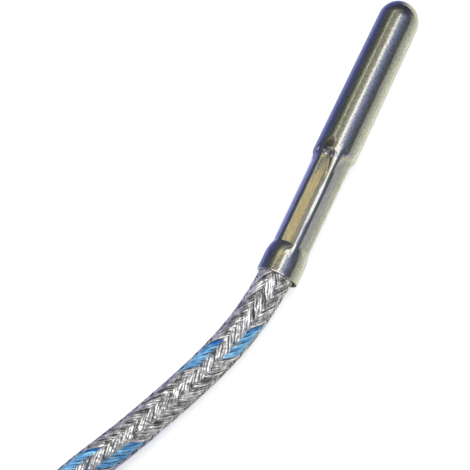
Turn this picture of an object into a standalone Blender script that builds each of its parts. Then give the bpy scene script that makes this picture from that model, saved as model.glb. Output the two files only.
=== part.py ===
"""Thermocouple probe: a crimped steel tube on an overbraided lead with a miniature plug.

Units are metres, written as millimetres times MM. The tube lies along X with its closed tip
towards +X, and it rests on the floor at z = 0. The origin is under the middle of the tube.
"""
import bmesh
import bpy
import math
import numpy as np
from mathutils import Matrix, Vector

MM = 0.001

# Lead: a glass-fibre core under a wire overbraid
LEAD_DIAMETER = 4.8 * MM
BRAID_WALL = 0.5 * MM
BRAID_END_FROM_MOUTH = 22.5 * MM
CORE_END_FROM_MOUTH = 24.5 * MM
TIGHT_FIT = 0.1 * MM
BUTT_GAP = 0.3 * MM

# Steel tube, bored to take the lead
TUBE_LENGTH = 44.4 * MM
TUBE_WALL = 0.4 * MM
LEAD_CLEARANCE = 0.2 * MM
TUBE_DIAMETER = LEAD_DIAMETER + 2 * (LEAD_CLEARANCE + TUBE_WALL)
MOUTH_EDGE_RADIUS = 0.2 * MM
COLLAR_LENGTH = 2.3 * MM
LOWER_FLARE_LENGTH = 2.4 * MM
CRIMP_LENGTH = 13.2 * MM
UPPER_FLARE_LENGTH = 1.2 * MM
CRIMP_SQUEEZE = 0.9 * MM
CRIMP_ACROSS_FLATS = TUBE_DIAMETER - CRIMP_SQUEEZE
CRIMP_CORNER_RADIUS = 1.1 * MM
CRIMP_SIDES = 6
CRIMP_TURN = math.radians(17.3)
FLAT_SEGMENTS = 5
CORNER_SEGMENTS = 3
SHARPEST_CORNER = 0.02 * MM

# Conductors and measuring junction
WIRE_DIAMETER = 0.5 * MM
WIRE_SPACING = 1.6 * MM
SLEEVE_DIAMETER = 1.35 * MM
SLEEVE_BORE = 0.7 * MM
SLEEVE_END_FROM_TIP = 7.0 * MM
CEMENT_START_FROM_TIP = 11.0 * MM
BEAD_DIAMETER = 1.2 * MM
BEAD_FROM_TIP = 3.4 * MM

# Coil of spare lead
COIL_CENTRE = (-84.9 * MM, -14.1 * MM)
COIL_MEAN_RADIUS = 24.7 * MM
COIL_COLUMNS = 3
COIL_LAYERS = 3
COIL_EDGE_RADIUS = 1.6 * MM

# Tie round the coil
TIE_ANGLE = math.radians(265.0)
TIE_WIDTH = 6.0 * MM
TIE_THICKNESS = 0.6 * MM
TIE_CLEARANCE = 0.3 * MM
TIE_FLOOR_GAP = 0.1 * MM

# Miniature plug, in its own frame: +X towards the blades, z = 0 in the parting plane
PLUG_WIDTH = 16.0 * MM
PLUG_LENGTH = 19.0 * MM
PLUG_THICKNESS = 8.0 * MM
PLUG_EDGE_RADIUS = 1.0 * MM
PLUG_SIDE_WALL = 1.7 * MM
PLUG_END_WALL = 2.0 * MM
PLUG_SKIN = 0.9 * MM
PLUG_RIB_WIDTH = 3.6 * MM
PARTING_GAP = 0.1 * MM
PLUG_HEADING = math.radians(163.4)
PLUG_LINE_RADIUS = 20.5 * MM

# Blades
BLADE_SPACING = 7.9 * MM
BLADE_LENGTH = 8.0 * MM
BLADE_THICKNESS = 0.8 * MM
BLADE_TIP_CHAMFER = 0.7 * MM
POSITIVE_BLADE_WIDTH = 2.4 * MM
NEGATIVE_BLADE_WIDTH = 3.2 * MM
TAB_WIDTH = 3.8 * MM
TAB_START = -1.5 * MM

# Screws and nut
TERMINAL_SCREW_X = 2.5 * MM
TERMINAL_SHANK_DIAMETER = 2.4 * MM
TERMINAL_SHANK_LENGTH = 3.4 * MM
SCREW_HEAD_DIAMETER = 3.4 * MM
SCREW_HEAD_HEIGHT = 1.2 * MM
SCREW_EDGE_RADIUS = 0.35 * MM
SCREW_SLOT_WIDTH = 0.5 * MM
SCREW_SLOT_DEPTH = 0.6 * MM
COVER_SCREW_X = 4.0 * MM
COVER_SHANK_DIAMETER = 2.0 * MM
HEAD_RECESS_DEPTH = 1.4 * MM
NUT_ACROSS_FLATS = 4.0 * MM
NUT_THICKNESS = 1.6 * MM

# Strain relief
BOOT_LENGTH = 10.0 * MM
BOOT_ROOT_DIAMETER = 7.2 * MM
BOOT_END_DIAMETER = 5.8 * MM
BOOT_NECK_DIAMETER = 5.6 * MM
BOOT_FLANGE_DIAMETER = 6.0 * MM
BOOT_FLANGE_LENGTH = 1.0 * MM
BOOT_EDGE_RADIUS = 0.5 * MM

# Lead's end inside the plug
PLUG_CORE_LENGTH = 1.2 * MM
SPREAD_BY_SHARE = 0.8
LIFTED_BY_SHARE = 0.6

TUBE_RADIUS = TUBE_DIAMETER / 2
LEAD_RADIUS = LEAD_DIAMETER / 2
MOUTH_X = -TUBE_LENGTH / 2
SLEEVE_END = TUBE_LENGTH - SLEEVE_END_FROM_TIP
CEMENT_START = TUBE_LENGTH - CEMENT_START_FROM_TIP
COIL_HALF_WIDTH = COIL_COLUMNS * LEAD_DIAMETER / 2
COIL_HEIGHT = COIL_LAYERS * LEAD_DIAMETER
PLUG_MIDDLE_Z = COIL_HEIGHT + BUTT_GAP + PLUG_THICKNESS / 2

# The lead's route from the mouth to the coil, chosen by hand along the floor
RUN_ROUTE = [
    (-22.2, 0.15, 3.0),
    (-24.5, 0.35, 2.93),
    (-27.5, 0.68, 2.75),
    (-30.5, 1.24, 2.55),
    (-33.5, 2.02, 2.43),
    (-37.9, 3.46, 2.4),
    (-42.1, 5.1, 2.4),
    (-46.3, 6.86, 2.4),
    (-51.7, 9.3, 2.4),
    (-57.3, 12.1, 2.4),
    (-62.5, 14.3, 2.4),
    (-67.5, 15.6, 2.4),
]

# The lead's way off the top of the coil and into the plug
TAIL_ROUTE = [
    (-66.2, -4.55, 17.2),
    (-68.0, -2.0, 17.5),
    (-70.05, 0.27, 17.8),
    (-72.4, 2.25, 18.15),
    (-75.0, 3.85, 18.5),
    (-79.0, 5.53, 18.7),
    (-83.8, 6.97, 18.7),
    (-88.6, 8.4, 18.7),
    (-91.5, 9.26, 18.7),
]


def clear_scene():
    """Start from an empty file."""
    for item in list(bpy.data.objects):
        bpy.data.objects.remove(item, do_unlink=True)


def material(name, colour, roughness, metallic):
    """A Principled BSDF with one colour."""
    made = bpy.data.materials.new(name)
    made.use_nodes = True
    shader = made.node_tree.nodes["Principled BSDF"]
    shader.inputs["Base Color"].default_value = (*colour, 1.0)
    shader.inputs["Roughness"].default_value = roughness
    shader.inputs["Metallic"].default_value = metallic
    return made


def add_object(name, mesh, finish, sharp_angle=35.0):
    """Link a mesh as a named object, smooth but for its sharp edges."""
    item = bpy.data.objects.new(name, mesh)
    bpy.context.scene.collection.objects.link(item)
    if finish is not None:
        mesh.materials.append(finish)
    mesh.shade_smooth()
    mesh.set_sharp_from_angle(angle=math.radians(sharp_angle))
    return item


def mesh_from_bmesh(name, working):
    """Close a bmesh with its faces pointing out."""
    bmesh.ops.recalc_face_normals(working, faces=working.faces)
    mesh = bpy.data.meshes.new(name)
    working.to_mesh(mesh)
    working.free()
    return mesh


def skin(name, rings, start=None, end=None, wrap=False):
    """Join rings of points with quads. The ends meet a point, or are capped, or join each other."""
    working = bmesh.new()
    rows = [[working.verts.new(point) for point in ring] for ring in rings]
    around = len(rows[0])
    pairs = list(zip(rows, rows[1:]))
    if wrap:
        pairs.append((rows[-1], rows[0]))
    for row, following in pairs:
        for index in range(around):
            after = (index + 1) % around
            working.faces.new((row[index], row[after], following[after], following[index]))
    if not wrap:
        for row, point in ((rows[0], start), (rows[-1], end)):
            if point is None:
                working.faces.new(row)
                continue
            pole = working.verts.new(point)
            for index in range(around):
                working.faces.new((row[index], row[(index + 1) % around], pole))
    return mesh_from_bmesh(name, working)


def box_mesh(name, low, high, rounded=None, radius=0.0, segments=2):
    """A box between two corners. rounded says which edges are rounded, by their middle point."""
    working = bmesh.new()
    size = Vector(high) - Vector(low)
    middle = (Vector(high) + Vector(low)) / 2
    bmesh.ops.create_cube(working, size=1.0)
    bmesh.ops.scale(working, vec=size, verts=working.verts)
    bmesh.ops.translate(working, vec=middle, verts=working.verts)
    if rounded is not None:
        chosen = [edge for edge in working.edges if rounded(edge, middle)]
        bmesh.ops.bevel(working, geom=chosen, offset=radius, segments=segments, profile=0.5,
                        affect="EDGES", clamp_overlap=True)
    return mesh_from_bmesh(name, working)


def cut(target, cutter_mesh, placing=None):
    """Take a shape out of an object with an exact Boolean."""
    cutter = add_object(f"cutter_{target.name}_{len(target.modifiers)}", cutter_mesh, None)
    if placing is not None:
        cutter.matrix_world = placing
    cutter.hide_render = True
    cutter.display_type = "WIRE"
    change = target.modifiers.new("cut", "BOOLEAN")
    change.operation = "DIFFERENCE"
    change.solver = "EXACT"
    change.object = cutter


def smooth_points(route, spacing):
    """Points along a natural cubic curve through the route's points."""
    knots = np.array(route) * MM
    steps = np.linalg.norm(np.diff(knots, axis=0), axis=1)
    at = np.concatenate([[0.0], np.cumsum(steps)])
    count = len(knots)
    system = np.eye(count)
    bends = np.zeros((count, 3))
    for index in range(1, count - 1):
        system[index, index - 1] = steps[index - 1]
        system[index, index] = 2 * (steps[index - 1] + steps[index])
        system[index, index + 1] = steps[index]
        slopes = np.diff(knots[index - 1:index + 2], axis=0) / steps[index - 1:index + 1, None]
        bends[index] = 6 * (slopes[1] - slopes[0])
    second = np.linalg.solve(system, bends)
    wanted = np.linspace(0.0, at[-1], int(round(at[-1] / spacing)) + 1)
    found = np.clip(np.searchsorted(at, wanted, side="right") - 1, 0, count - 2)
    width = steps[found][:, None]
    near = (at[found + 1] - wanted)[:, None]
    far = (wanted - at[found])[:, None]
    curve = (near ** 3 * second[found] + far ** 3 * second[found + 1]) / (6 * width)
    line_near = (knots[found] / width - second[found] * width / 6) * near
    line_far = (knots[found + 1] / width - second[found + 1] * width / 6) * far
    return curve + line_near + line_far


def tube_along(name, points, diameter, finish, bevel_resolution=3):
    """A round bar along a list of points, with flat ends."""
    curve = bpy.data.curves.new(name, "CURVE")
    curve.dimensions = "3D"
    curve.bevel_depth = diameter / 2
    curve.bevel_resolution = bevel_resolution
    curve.use_fill_caps = True
    spline = curve.splines.new("POLY")
    spline.points.add(len(points) - 1)
    for slot, point in zip(spline.points, points):
        slot.co = (*point, 1.0)
    curve.materials.append(finish)
    item = bpy.data.objects.new(name, curve)
    bpy.context.scene.collection.objects.link(item)
    return item


def blend(share):
    """An S-shaped step from 0 to 1."""
    share = min(max(share, 0.0), 1.0)
    return (1 - math.cos(math.pi * share)) / 2


def crimp_share(along):
    """How far the tube is pressed from round, 0, to six-sided, 1, at a distance from its mouth."""
    start = COLLAR_LENGTH
    end = COLLAR_LENGTH + LOWER_FLARE_LENGTH + CRIMP_LENGTH + UPPER_FLARE_LENGTH
    return blend((along - start) / LOWER_FLARE_LENGTH) * blend((end - along) / UPPER_FLARE_LENGTH)


def tube_angles():
    """Angles round the tube: flats and corners each get their own even share of segments."""
    sector = 2 * math.pi / CRIMP_SIDES
    apothem = CRIMP_ACROSS_FLATS / 2
    flat_half_width = (apothem - CRIMP_CORNER_RADIUS) * math.tan(sector / 2)
    flat_half_angle = math.atan(flat_half_width / apothem)
    steps = [2 * flat_half_angle / FLAT_SEGMENTS] * FLAT_SEGMENTS
    steps += [(sector - 2 * flat_half_angle) / CORNER_SEGMENTS] * CORNER_SEGMENTS
    first = math.pi / 2 - CRIMP_TURN - flat_half_angle
    return first + np.concatenate([[0.0], np.cumsum(steps * CRIMP_SIDES)[:-1]])


ANGLES = tube_angles()


def hexagon_radius(inset):
    """Distance from the axis to the crimp's rounded hexagon, set in from its outside by inset."""
    half = math.pi / CRIMP_SIDES
    apothem = CRIMP_ACROSS_FLATS / 2 - inset
    corner = max(CRIMP_CORNER_RADIUS - inset, SHARPEST_CORNER)
    from_flat = (ANGLES - (math.pi / 2 - CRIMP_TURN) + half) % (2 * half) - half
    flat_end = math.atan((apothem - corner) * math.tan(half) / apothem)
    from_corner = half - np.abs(from_flat)
    corner_centre = (apothem - corner) / math.cos(half)
    reach = np.sqrt(np.maximum(corner ** 2 - (corner_centre * np.sin(from_corner)) ** 2, 0.0))
    on_corner = corner_centre * np.cos(from_corner) + reach
    on_flat = apothem / np.cos(from_flat)
    return np.where(np.abs(from_flat) <= flat_end, on_flat, on_corner)


def tube_radii(along, inset, round_radius):
    """Radii round the tube at a distance from its mouth, set in from the tube's outside."""
    share = crimp_share(along)
    return (1 - share) * round_radius + share * hexagon_radius(inset)


def tube_ring(along, radii):
    """A ring of points round the tube's axis."""
    across = radii * np.cos(ANGLES)
    up = radii * np.sin(ANGLES)
    return np.stack([np.full(len(ANGLES), MOUTH_X + along), across, TUBE_RADIUS + up], axis=1)


def body_stations(end):
    """Distances from the mouth at which the tube's section is drawn, up to a given end."""
    crimp_start = COLLAR_LENGTH + LOWER_FLARE_LENGTH
    crimp_end = crimp_start + CRIMP_LENGTH
    shares = np.linspace(0.0, 1.0, 6)
    lower = COLLAR_LENGTH + LOWER_FLARE_LENGTH * shares
    upper = crimp_end + UPPER_FLARE_LENGTH * shares
    return [along for along in (*lower, *upper) if along < end]


def make_tube(finish):
    """The steel tube: domed tip, round body, six-sided crimp and collar, with an even wall."""
    inner_radius = TUBE_RADIUS - TUBE_WALL
    dome_at = TUBE_LENGTH - TUBE_RADIUS
    rings = []
    for lift in np.radians([75.0, 60.0, 45.0, 30.0, 15.0]):
        dome_radius = np.full(len(ANGLES), TUBE_RADIUS * math.cos(lift))
        rings.append(tube_ring(dome_at + TUBE_RADIUS * math.sin(lift), dome_radius))
    rings.append(tube_ring(dome_at, np.full(len(ANGLES), TUBE_RADIUS)))
    for along in reversed(body_stations(dome_at)):
        rings.append(tube_ring(along, tube_radii(along, 0.0, TUBE_RADIUS)))
    for turn in np.radians([0.0, 30.0, 60.0, 90.0]):
        set_in = MOUTH_EDGE_RADIUS * (1 - math.cos(turn))
        along = MOUTH_EDGE_RADIUS * (1 - math.sin(turn))
        rings.append(tube_ring(along, np.full(len(ANGLES), TUBE_RADIUS - set_in)))
    rings.append(tube_ring(0.0, np.full(len(ANGLES), inner_radius)))
    for along in body_stations(dome_at):
        rings.append(tube_ring(along, tube_radii(along, TUBE_WALL, inner_radius)))
    rings.append(tube_ring(dome_at, np.full(len(ANGLES), inner_radius)))
    for lift in np.radians([20.0, 40.0, 60.0, 75.0]):
        dome_radius = np.full(len(ANGLES), inner_radius * math.cos(lift))
        rings.append(tube_ring(dome_at + inner_radius * math.sin(lift), dome_radius))
    tip = (MOUTH_X + TUBE_LENGTH, 0.0, TUBE_RADIUS)
    inner_tip = (MOUTH_X + TUBE_LENGTH - TUBE_WALL, 0.0, TUBE_RADIUS)
    mesh = skin("sheath_tube", rings, start=tip, end=inner_tip)
    return add_object("sheath_tube", mesh, finish, sharp_angle=50.0)


def lead_layer_rings(end, inset_from_tube, round_radius):
    """Sections of a layer of the lead inside the tube, pressed six-sided by the crimp."""
    stations = [0.0, *body_stations(end), end]
    rings = []
    for along in stations:
        pressed = tube_radii(along, inset_from_tube, round_radius)
        rings.append(tube_ring(along, np.minimum(pressed, round_radius)))
    return rings


def make_lead_in_tube(braid_finish, core_finish):
    """The end of the lead inside the tube: the braid, and the core that goes on past it."""
    braid_inset = TUBE_WALL + TIGHT_FIT
    outer = lead_layer_rings(BRAID_END_FROM_MOUTH, braid_inset, LEAD_RADIUS)
    inner = lead_layer_rings(BRAID_END_FROM_MOUTH, braid_inset + BRAID_WALL, LEAD_RADIUS - BRAID_WALL)
    braid = skin("braid_in_sheath", outer + inner[::-1], wrap=True)
    add_object("braid_in_sheath", braid, braid_finish)
    core_inset = braid_inset + BRAID_WALL + TIGHT_FIT
    core_radius = LEAD_RADIUS - BRAID_WALL - TIGHT_FIT
    core = skin("core_in_sheath", lead_layer_rings(CORE_END_FROM_MOUTH, core_inset, core_radius))
    add_object("core_in_sheath", core, core_finish)


def turned_mesh(name, profile, placing, segments=24, wrap=False):
    """Turn a profile of (distance along, radius) pairs about the X axis of a placing matrix."""
    angles = np.linspace(0.0, 2 * math.pi, segments, endpoint=False)
    rings = []
    for along, radius in profile:
        ring = np.stack([np.full(segments, along), radius * np.cos(angles), radius * np.sin(angles)], 1)
        rings.append([placing @ Vector(point) for point in ring])
    return skin(name, rings, wrap=wrap)


def tube_line(from_mouth, across=0.0):
    """A placing on the tube's axis, a distance from its mouth and across it."""
    return Matrix.Translation((MOUTH_X + from_mouth, across, TUBE_RADIUS))


def wire_points(side, bead_from_mouth):
    """A conductor's points from the core's end to the bead, in metres."""
    across = side * WIRE_SPACING / 2
    touch = bead_from_mouth - BEAD_DIAMETER / 2 - TIGHT_FIT
    near_bead = side * (WIRE_DIAMETER / 2 + TIGHT_FIT / 2)
    turn_start = SLEEVE_END + TIGHT_FIT
    points = [(CORE_END_FROM_MOUTH + TIGHT_FIT, across), (turn_start, across)]
    for share in (0.25, 0.5, 0.75, 1.0):
        along = turn_start + share * (touch - turn_start)
        points.append((along, across + (near_bead - across) * blend(share)))
    return [(MOUTH_X + along, offset, TUBE_RADIUS) for along, offset in points]


def make_junction(wire_finishes, sleeve_finishes, bead_finish, cement_finish):
    """Two sleeved wires, their welded bead, and the cement cast round them in the tip."""
    bead_from_mouth = TUBE_LENGTH - BEAD_FROM_TIP
    cement_radius = TUBE_RADIUS - TUBE_WALL - TIGHT_FIT
    dome_at = TUBE_LENGTH - TUBE_RADIUS
    rings = [(CEMENT_START, cement_radius), (dome_at, cement_radius)]
    for lift in np.radians([20.0, 40.0, 60.0, 78.0]):
        rings.append((dome_at + cement_radius * math.sin(lift), cement_radius * math.cos(lift)))
    cement = add_object("tip_cement", turned_mesh("tip_cement", rings, tube_line(0.0)), cement_finish)
    for name, side, wire_finish, sleeve_finish in (
        ("positive", 1, wire_finishes[0], sleeve_finishes[0]),
        ("negative", -1, wire_finishes[1], sleeve_finishes[1]),
    ):
        points = wire_points(side, bead_from_mouth)
        tube_along(f"{name}_wire_tip", points, WIRE_DIAMETER, wire_finish, bevel_resolution=2)
        start = CORE_END_FROM_MOUTH + TIGHT_FIT
        sleeve = [(start, SLEEVE_DIAMETER / 2), (SLEEVE_END, SLEEVE_DIAMETER / 2),
                  (SLEEVE_END, SLEEVE_BORE / 2), (start, SLEEVE_BORE / 2)]
        line = tube_line(0.0, side * WIRE_SPACING / 2)
        mesh = turned_mesh(f"{name}_sleeve_tip", sleeve, line, segments=16, wrap=True)
        add_object(f"{name}_sleeve_tip", mesh, sleeve_finish)
        hole_radius = SLEEVE_DIAMETER / 2 + TIGHT_FIT
        hole_end = bead_from_mouth
        hole = [(CEMENT_START - CUT_PAST, hole_radius), (hole_end, hole_radius)]
        cut(cement, turned_mesh("sleeve_hole", hole, line, segments=16))
    bead_radius = BEAD_DIAMETER / 2
    bead_rings = [(bead_radius * math.sin(lift), bead_radius * math.cos(lift))
                  for lift in np.radians([-78, -60, -40, -20, 0, 20, 40, 60, 78])]
    bead = turned_mesh("junction_bead", bead_rings, tube_line(bead_from_mouth), segments=16)
    add_object("junction_bead", bead, bead_finish)
    room_radius = bead_radius + TIGHT_FIT
    room = [(bead_from_mouth - 2 * room_radius, room_radius), (bead_from_mouth + room_radius, room_radius)]
    cut(cement, turned_mesh("bead_room", room, tube_line(0.0), segments=16))


def make_coil(finish, tie_finish):
    """The coil's outer shape, turned about its own upright axis, and the strap round it."""
    inner = COIL_MEAN_RADIUS - COIL_HALF_WIDTH
    outer = COIL_MEAN_RADIUS + COIL_HALF_WIDTH
    profile = []
    for radius, height, first in (
        (outer, 0.0, -90.0), (outer, COIL_HEIGHT, 0.0), (inner, COIL_HEIGHT, 90.0), (inner, 0.0, 180.0),
    ):
        inward_r = radius + (COIL_EDGE_RADIUS if radius == inner else -COIL_EDGE_RADIUS)
        inward_z = height + (COIL_EDGE_RADIUS if height == 0.0 else -COIL_EDGE_RADIUS)
        for turn in np.radians([first, first + 45.0, first + 90.0]):
            profile.append((inward_z + COIL_EDGE_RADIUS * math.sin(turn),
                            inward_r + COIL_EDGE_RADIUS * math.cos(turn)))
    upright = Matrix.Translation((*COIL_CENTRE, 0.0)) @ Matrix.Rotation(-math.pi / 2, 4, "Y")
    ring = turned_mesh("lead_coil", profile, upright, segments=56, wrap=True)
    coil = add_object("lead_coil", ring, finish)
    place = (Matrix.Translation((*COIL_CENTRE, 0.0)) @ Matrix.Rotation(TIE_ANGLE, 4, "Z")
             @ Matrix.Translation((COIL_MEAN_RADIUS, 0.0, COIL_HEIGHT / 2)))
    strap_out = COIL_HALF_WIDTH - TIE_FLOOR_GAP
    strap_in = strap_out - TIE_THICKNESS
    groove = strap_in - TIE_CLEARANCE
    strap_mesh = frame_mesh("coil_tie", strap_in, strap_out, TIE_WIDTH / 2)
    strap = add_object("coil_tie", strap_mesh, tie_finish)
    strap.matrix_world = place
    groove_mesh = frame_mesh("groove", groove, COIL_HALF_WIDTH + CUT_PAST, TIE_WIDTH / 2 + TIE_CLEARANCE)
    cut(coil, groove_mesh, place)


def frame_mesh(name, inside, outside, half_width):
    """A square loop about the Y axis, from its inner to its outer half size."""
    corners = [(1, 1), (-1, 1), (-1, -1), (1, -1)]
    sizes = [outside, outside, inside, inside]
    sides = [-half_width, half_width, half_width, -half_width]
    rings = [[(x * size, y, z * size) for x, z in corners] for size, y in zip(sizes, sides)]
    return skin(name, rings, wrap=True)


def plug_placing():
    """The plug's place on the coil: its middle, with +X towards the blades."""
    heading = Vector((math.cos(PLUG_HEADING), math.sin(PLUG_HEADING), 0.0))
    outward = Vector((math.sin(PLUG_HEADING), -math.cos(PLUG_HEADING), 0.0))
    middle = Vector((*COIL_CENTRE, PLUG_MIDDLE_Z)) + outward * PLUG_LINE_RADIUS
    middle += heading * (BOOT_LENGTH + PLUG_LENGTH / 2)
    return Matrix.Translation(middle) @ Matrix.Rotation(PLUG_HEADING, 4, "Z")


def place_in_plug(item):
    """Move an object that was made in the plug's own frame to its place."""
    item.matrix_world = PLUG_PLACE
    return item


PLUG_PLACE = plug_placing()
PLUG_FRONT = PLUG_LENGTH / 2
PLUG_BACK = -PLUG_LENGTH / 2
POCKET_FRONT = PLUG_FRONT - PLUG_END_WALL
POCKET_BACK = PLUG_BACK + PLUG_END_WALL
POCKET_SIDE = PLUG_WIDTH / 2 - PLUG_SIDE_WALL
POCKET_HEIGHT = PLUG_THICKNESS / 2 - PLUG_SKIN
TAB_RECESS = BLADE_THICKNESS / 2 + TIGHT_FIT
CUT_PAST = 1.0 * MM
BLADES = (
    ("positive", 1, POSITIVE_BLADE_WIDTH),
    ("negative", -1, NEGATIVE_BLADE_WIDTH),
)


def upright_bar(name, x, y, low, high, radius, segments=16, turn=0.0):
    """A round or many-sided bar along Z, in the plug's frame."""
    placing = Matrix.Translation((x, y, 0.0)) @ Matrix.Rotation(turn, 4, "Z")
    placing = placing @ Matrix.Rotation(-math.pi / 2, 4, "Y")
    return turned_mesh(name, [(low, radius), (high, radius)], placing, segments=segments)


def plug_half(name, side, finish):
    """One half of the plug body: side 1 is the cover above the blades, side -1 the base."""
    parting = side * PARTING_GAP / 2
    outside = side * PLUG_THICKNESS / 2
    low = (PLUG_BACK, -PLUG_WIDTH / 2, min(parting, outside))
    high = (PLUG_FRONT, PLUG_WIDTH / 2, max(parting, outside))

    def is_outer_edge(edge, middle):
        heights = [(vert.co.z - middle.z) * side for vert in edge.verts]
        return max(heights) > 0

    mesh = box_mesh(name, low, high, is_outer_edge, PLUG_EDGE_RADIUS)
    half = place_in_plug(add_object(name, mesh, finish))
    deep = side * POCKET_HEIGHT
    shallow = -side * CUT_PAST
    rear_front = TAB_START - TIGHT_FIT
    pockets = [((POCKET_BACK, -POCKET_SIDE), (rear_front, POCKET_SIDE), deep)]
    tab_depth = deep if side > 0 else side * TAB_RECESS
    for _, across, width in BLADES:
        edges = sorted((across * PLUG_RIB_WIDTH / 2, across * POCKET_SIDE))
        pockets.append(((rear_front - CUT_PAST / 2, edges[0]), (POCKET_FRONT, edges[1]), tab_depth))
        middle = across * BLADE_SPACING / 2
        slot = width / 2 + TIGHT_FIT
        pockets.append(((POCKET_FRONT - CUT_PAST, middle - slot), (PLUG_FRONT + CUT_PAST, middle + slot),
                        side * TAB_RECESS))
    for low_xy, high_xy, depth in pockets:
        low = (*low_xy, min(depth, shallow))
        high = (*high_xy, max(depth, shallow))
        cut(half, box_mesh("pocket", low, high), PLUG_PLACE)
    neck = BOOT_NECK_DIAMETER / 2 + TIGHT_FIT
    rear = [(PLUG_BACK - CUT_PAST, neck), (POCKET_BACK + CUT_PAST, neck)]
    cut(half, turned_mesh("boot_hole", rear, Matrix.Identity(4)), PLUG_PLACE)
    return half


def make_plug_body(finish):
    """The base and the cover, with the holes for their screws and the nut's pocket."""
    base = plug_half("plug_base", -1, finish)
    cover = plug_half("plug_cover", 1, finish)
    shank = COVER_SHANK_DIAMETER / 2 + TIGHT_FIT
    bottom = -PLUG_THICKNESS / 2
    top = PLUG_THICKNESS / 2
    for half in (base, cover):
        hole = upright_bar("screw_hole", COVER_SCREW_X, 0.0, bottom - CUT_PAST, top + CUT_PAST, shank)
        cut(half, hole, PLUG_PLACE)
    head = SCREW_HEAD_DIAMETER / 2 + TIGHT_FIT
    recess = upright_bar("head_recess", COVER_SCREW_X, 0.0, top - HEAD_RECESS_DEPTH, top + CUT_PAST, head, 24)
    cut(cover, recess, PLUG_PLACE)
    nut_corner = (NUT_ACROSS_FLATS / 2 + TIGHT_FIT) / math.cos(math.pi / 6)
    pocket_top = bottom + NUT_THICKNESS + BUTT_GAP
    pocket = upright_bar("nut_pocket", COVER_SCREW_X, 0.0, bottom - CUT_PAST, pocket_top, nut_corner, 6)
    cut(base, pocket, PLUG_PLACE)
    thread = TERMINAL_SHANK_DIAMETER / 2 + TIGHT_FIT
    low = BLADE_THICKNESS / 2 - TERMINAL_SHANK_LENGTH - TIGHT_FIT
    for _, across, _ in BLADES:
        y = across * BLADE_SPACING / 2
        hole = upright_bar("terminal_hole", TERMINAL_SCREW_X, y, low, CUT_PAST, thread)
        cut(base, hole, PLUG_PLACE)


def make_screw(name, x, y, seat, shank_diameter, shank_length, finish, slot_turn):
    """A slotted pan-head screw whose head sits on the height called seat."""
    head = SCREW_HEAD_DIAMETER / 2
    shank = shank_diameter / 2
    soft = SCREW_EDGE_RADIUS
    profile = [(seat - shank_length, shank - soft / 2), (seat - shank_length + soft, shank), (seat, shank),
               (seat, head), (seat + SCREW_HEAD_HEIGHT - soft, head), (seat + SCREW_HEAD_HEIGHT, head - soft)]
    placing = Matrix.Translation((x, y, 0.0)) @ Matrix.Rotation(-math.pi / 2, 4, "Y")
    screw = place_in_plug(add_object(name, turned_mesh(name, profile, placing, segments=24), finish))
    top = seat + SCREW_HEAD_HEIGHT
    slot = box_mesh("slot", (-head - soft, -SCREW_SLOT_WIDTH / 2, top - SCREW_SLOT_DEPTH),
                    (head + soft, SCREW_SLOT_WIDTH / 2, top + CUT_PAST))
    turned = Matrix.Translation((x, y, 0.0)) @ Matrix.Rotation(slot_turn, 4, "Z")
    cut(screw, slot, PLUG_PLACE @ turned)


def make_blade(name, across, width, finish):
    """A flat contact: a tab with a screw hole inside the body, and the blade in front of it."""
    middle = across * BLADE_SPACING / 2
    low = -BLADE_THICKNESS / 2
    high = BLADE_THICKNESS / 2
    tab_end = POCKET_FRONT - TIGHT_FIT
    tip = PLUG_FRONT + BLADE_LENGTH
    chamfer = BLADE_TIP_CHAMFER
    outline = [(TAB_START, -TAB_WIDTH / 2), (tab_end, -TAB_WIDTH / 2), (tab_end, -width / 2),
               (tip - chamfer, -width / 2), (tip, -width / 2 + chamfer), (tip, width / 2 - chamfer),
               (tip - chamfer, width / 2), (tab_end, width / 2), (tab_end, TAB_WIDTH / 2),
               (TAB_START, TAB_WIDTH / 2)]
    rings = [[(x, middle + y, height) for x, y in outline] for height in (low, high)]
    blade = place_in_plug(add_object(name, skin(name, rings), finish))
    hole_radius = TERMINAL_SHANK_DIAMETER / 2 + TIGHT_FIT
    hole = upright_bar("blade_hole", TERMINAL_SCREW_X, middle, low - CUT_PAST, high + CUT_PAST, hole_radius)
    cut(blade, hole, PLUG_PLACE)


def make_fasteners(terminal_finish, cover_finish):
    """Both terminal screws, the cover's screw and its nut."""
    for name, across, _ in BLADES:
        make_screw(f"{name}_terminal_screw", TERMINAL_SCREW_X, across * BLADE_SPACING / 2,
                   BLADE_THICKNESS / 2 + TIGHT_FIT, TERMINAL_SHANK_DIAMETER, TERMINAL_SHANK_LENGTH,
                   terminal_finish, math.radians(35.0 * across))
    seat = PLUG_THICKNESS / 2 - HEAD_RECESS_DEPTH + TIGHT_FIT
    bottom = -PLUG_THICKNESS / 2
    length = seat - bottom - BUTT_GAP
    make_screw("cover_screw", COVER_SCREW_X, 0.0, seat, COVER_SHANK_DIAMETER, length,
               cover_finish, math.radians(20.0))
    corner = NUT_ACROSS_FLATS / 2 / math.cos(math.pi / 6)
    low = bottom + BUTT_GAP / 2
    nut_mesh = upright_bar("cover_nut", COVER_SCREW_X, 0.0, low, low + NUT_THICKNESS, corner, 6)
    nut = place_in_plug(add_object("cover_nut", nut_mesh, cover_finish))
    bore = COVER_SHANK_DIAMETER / 2 + TIGHT_FIT
    thread = upright_bar("nut_bore", COVER_SCREW_X, 0.0, bottom - CUT_PAST, low + 2 * NUT_THICKNESS, bore)
    cut(nut, thread, PLUG_PLACE)


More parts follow.
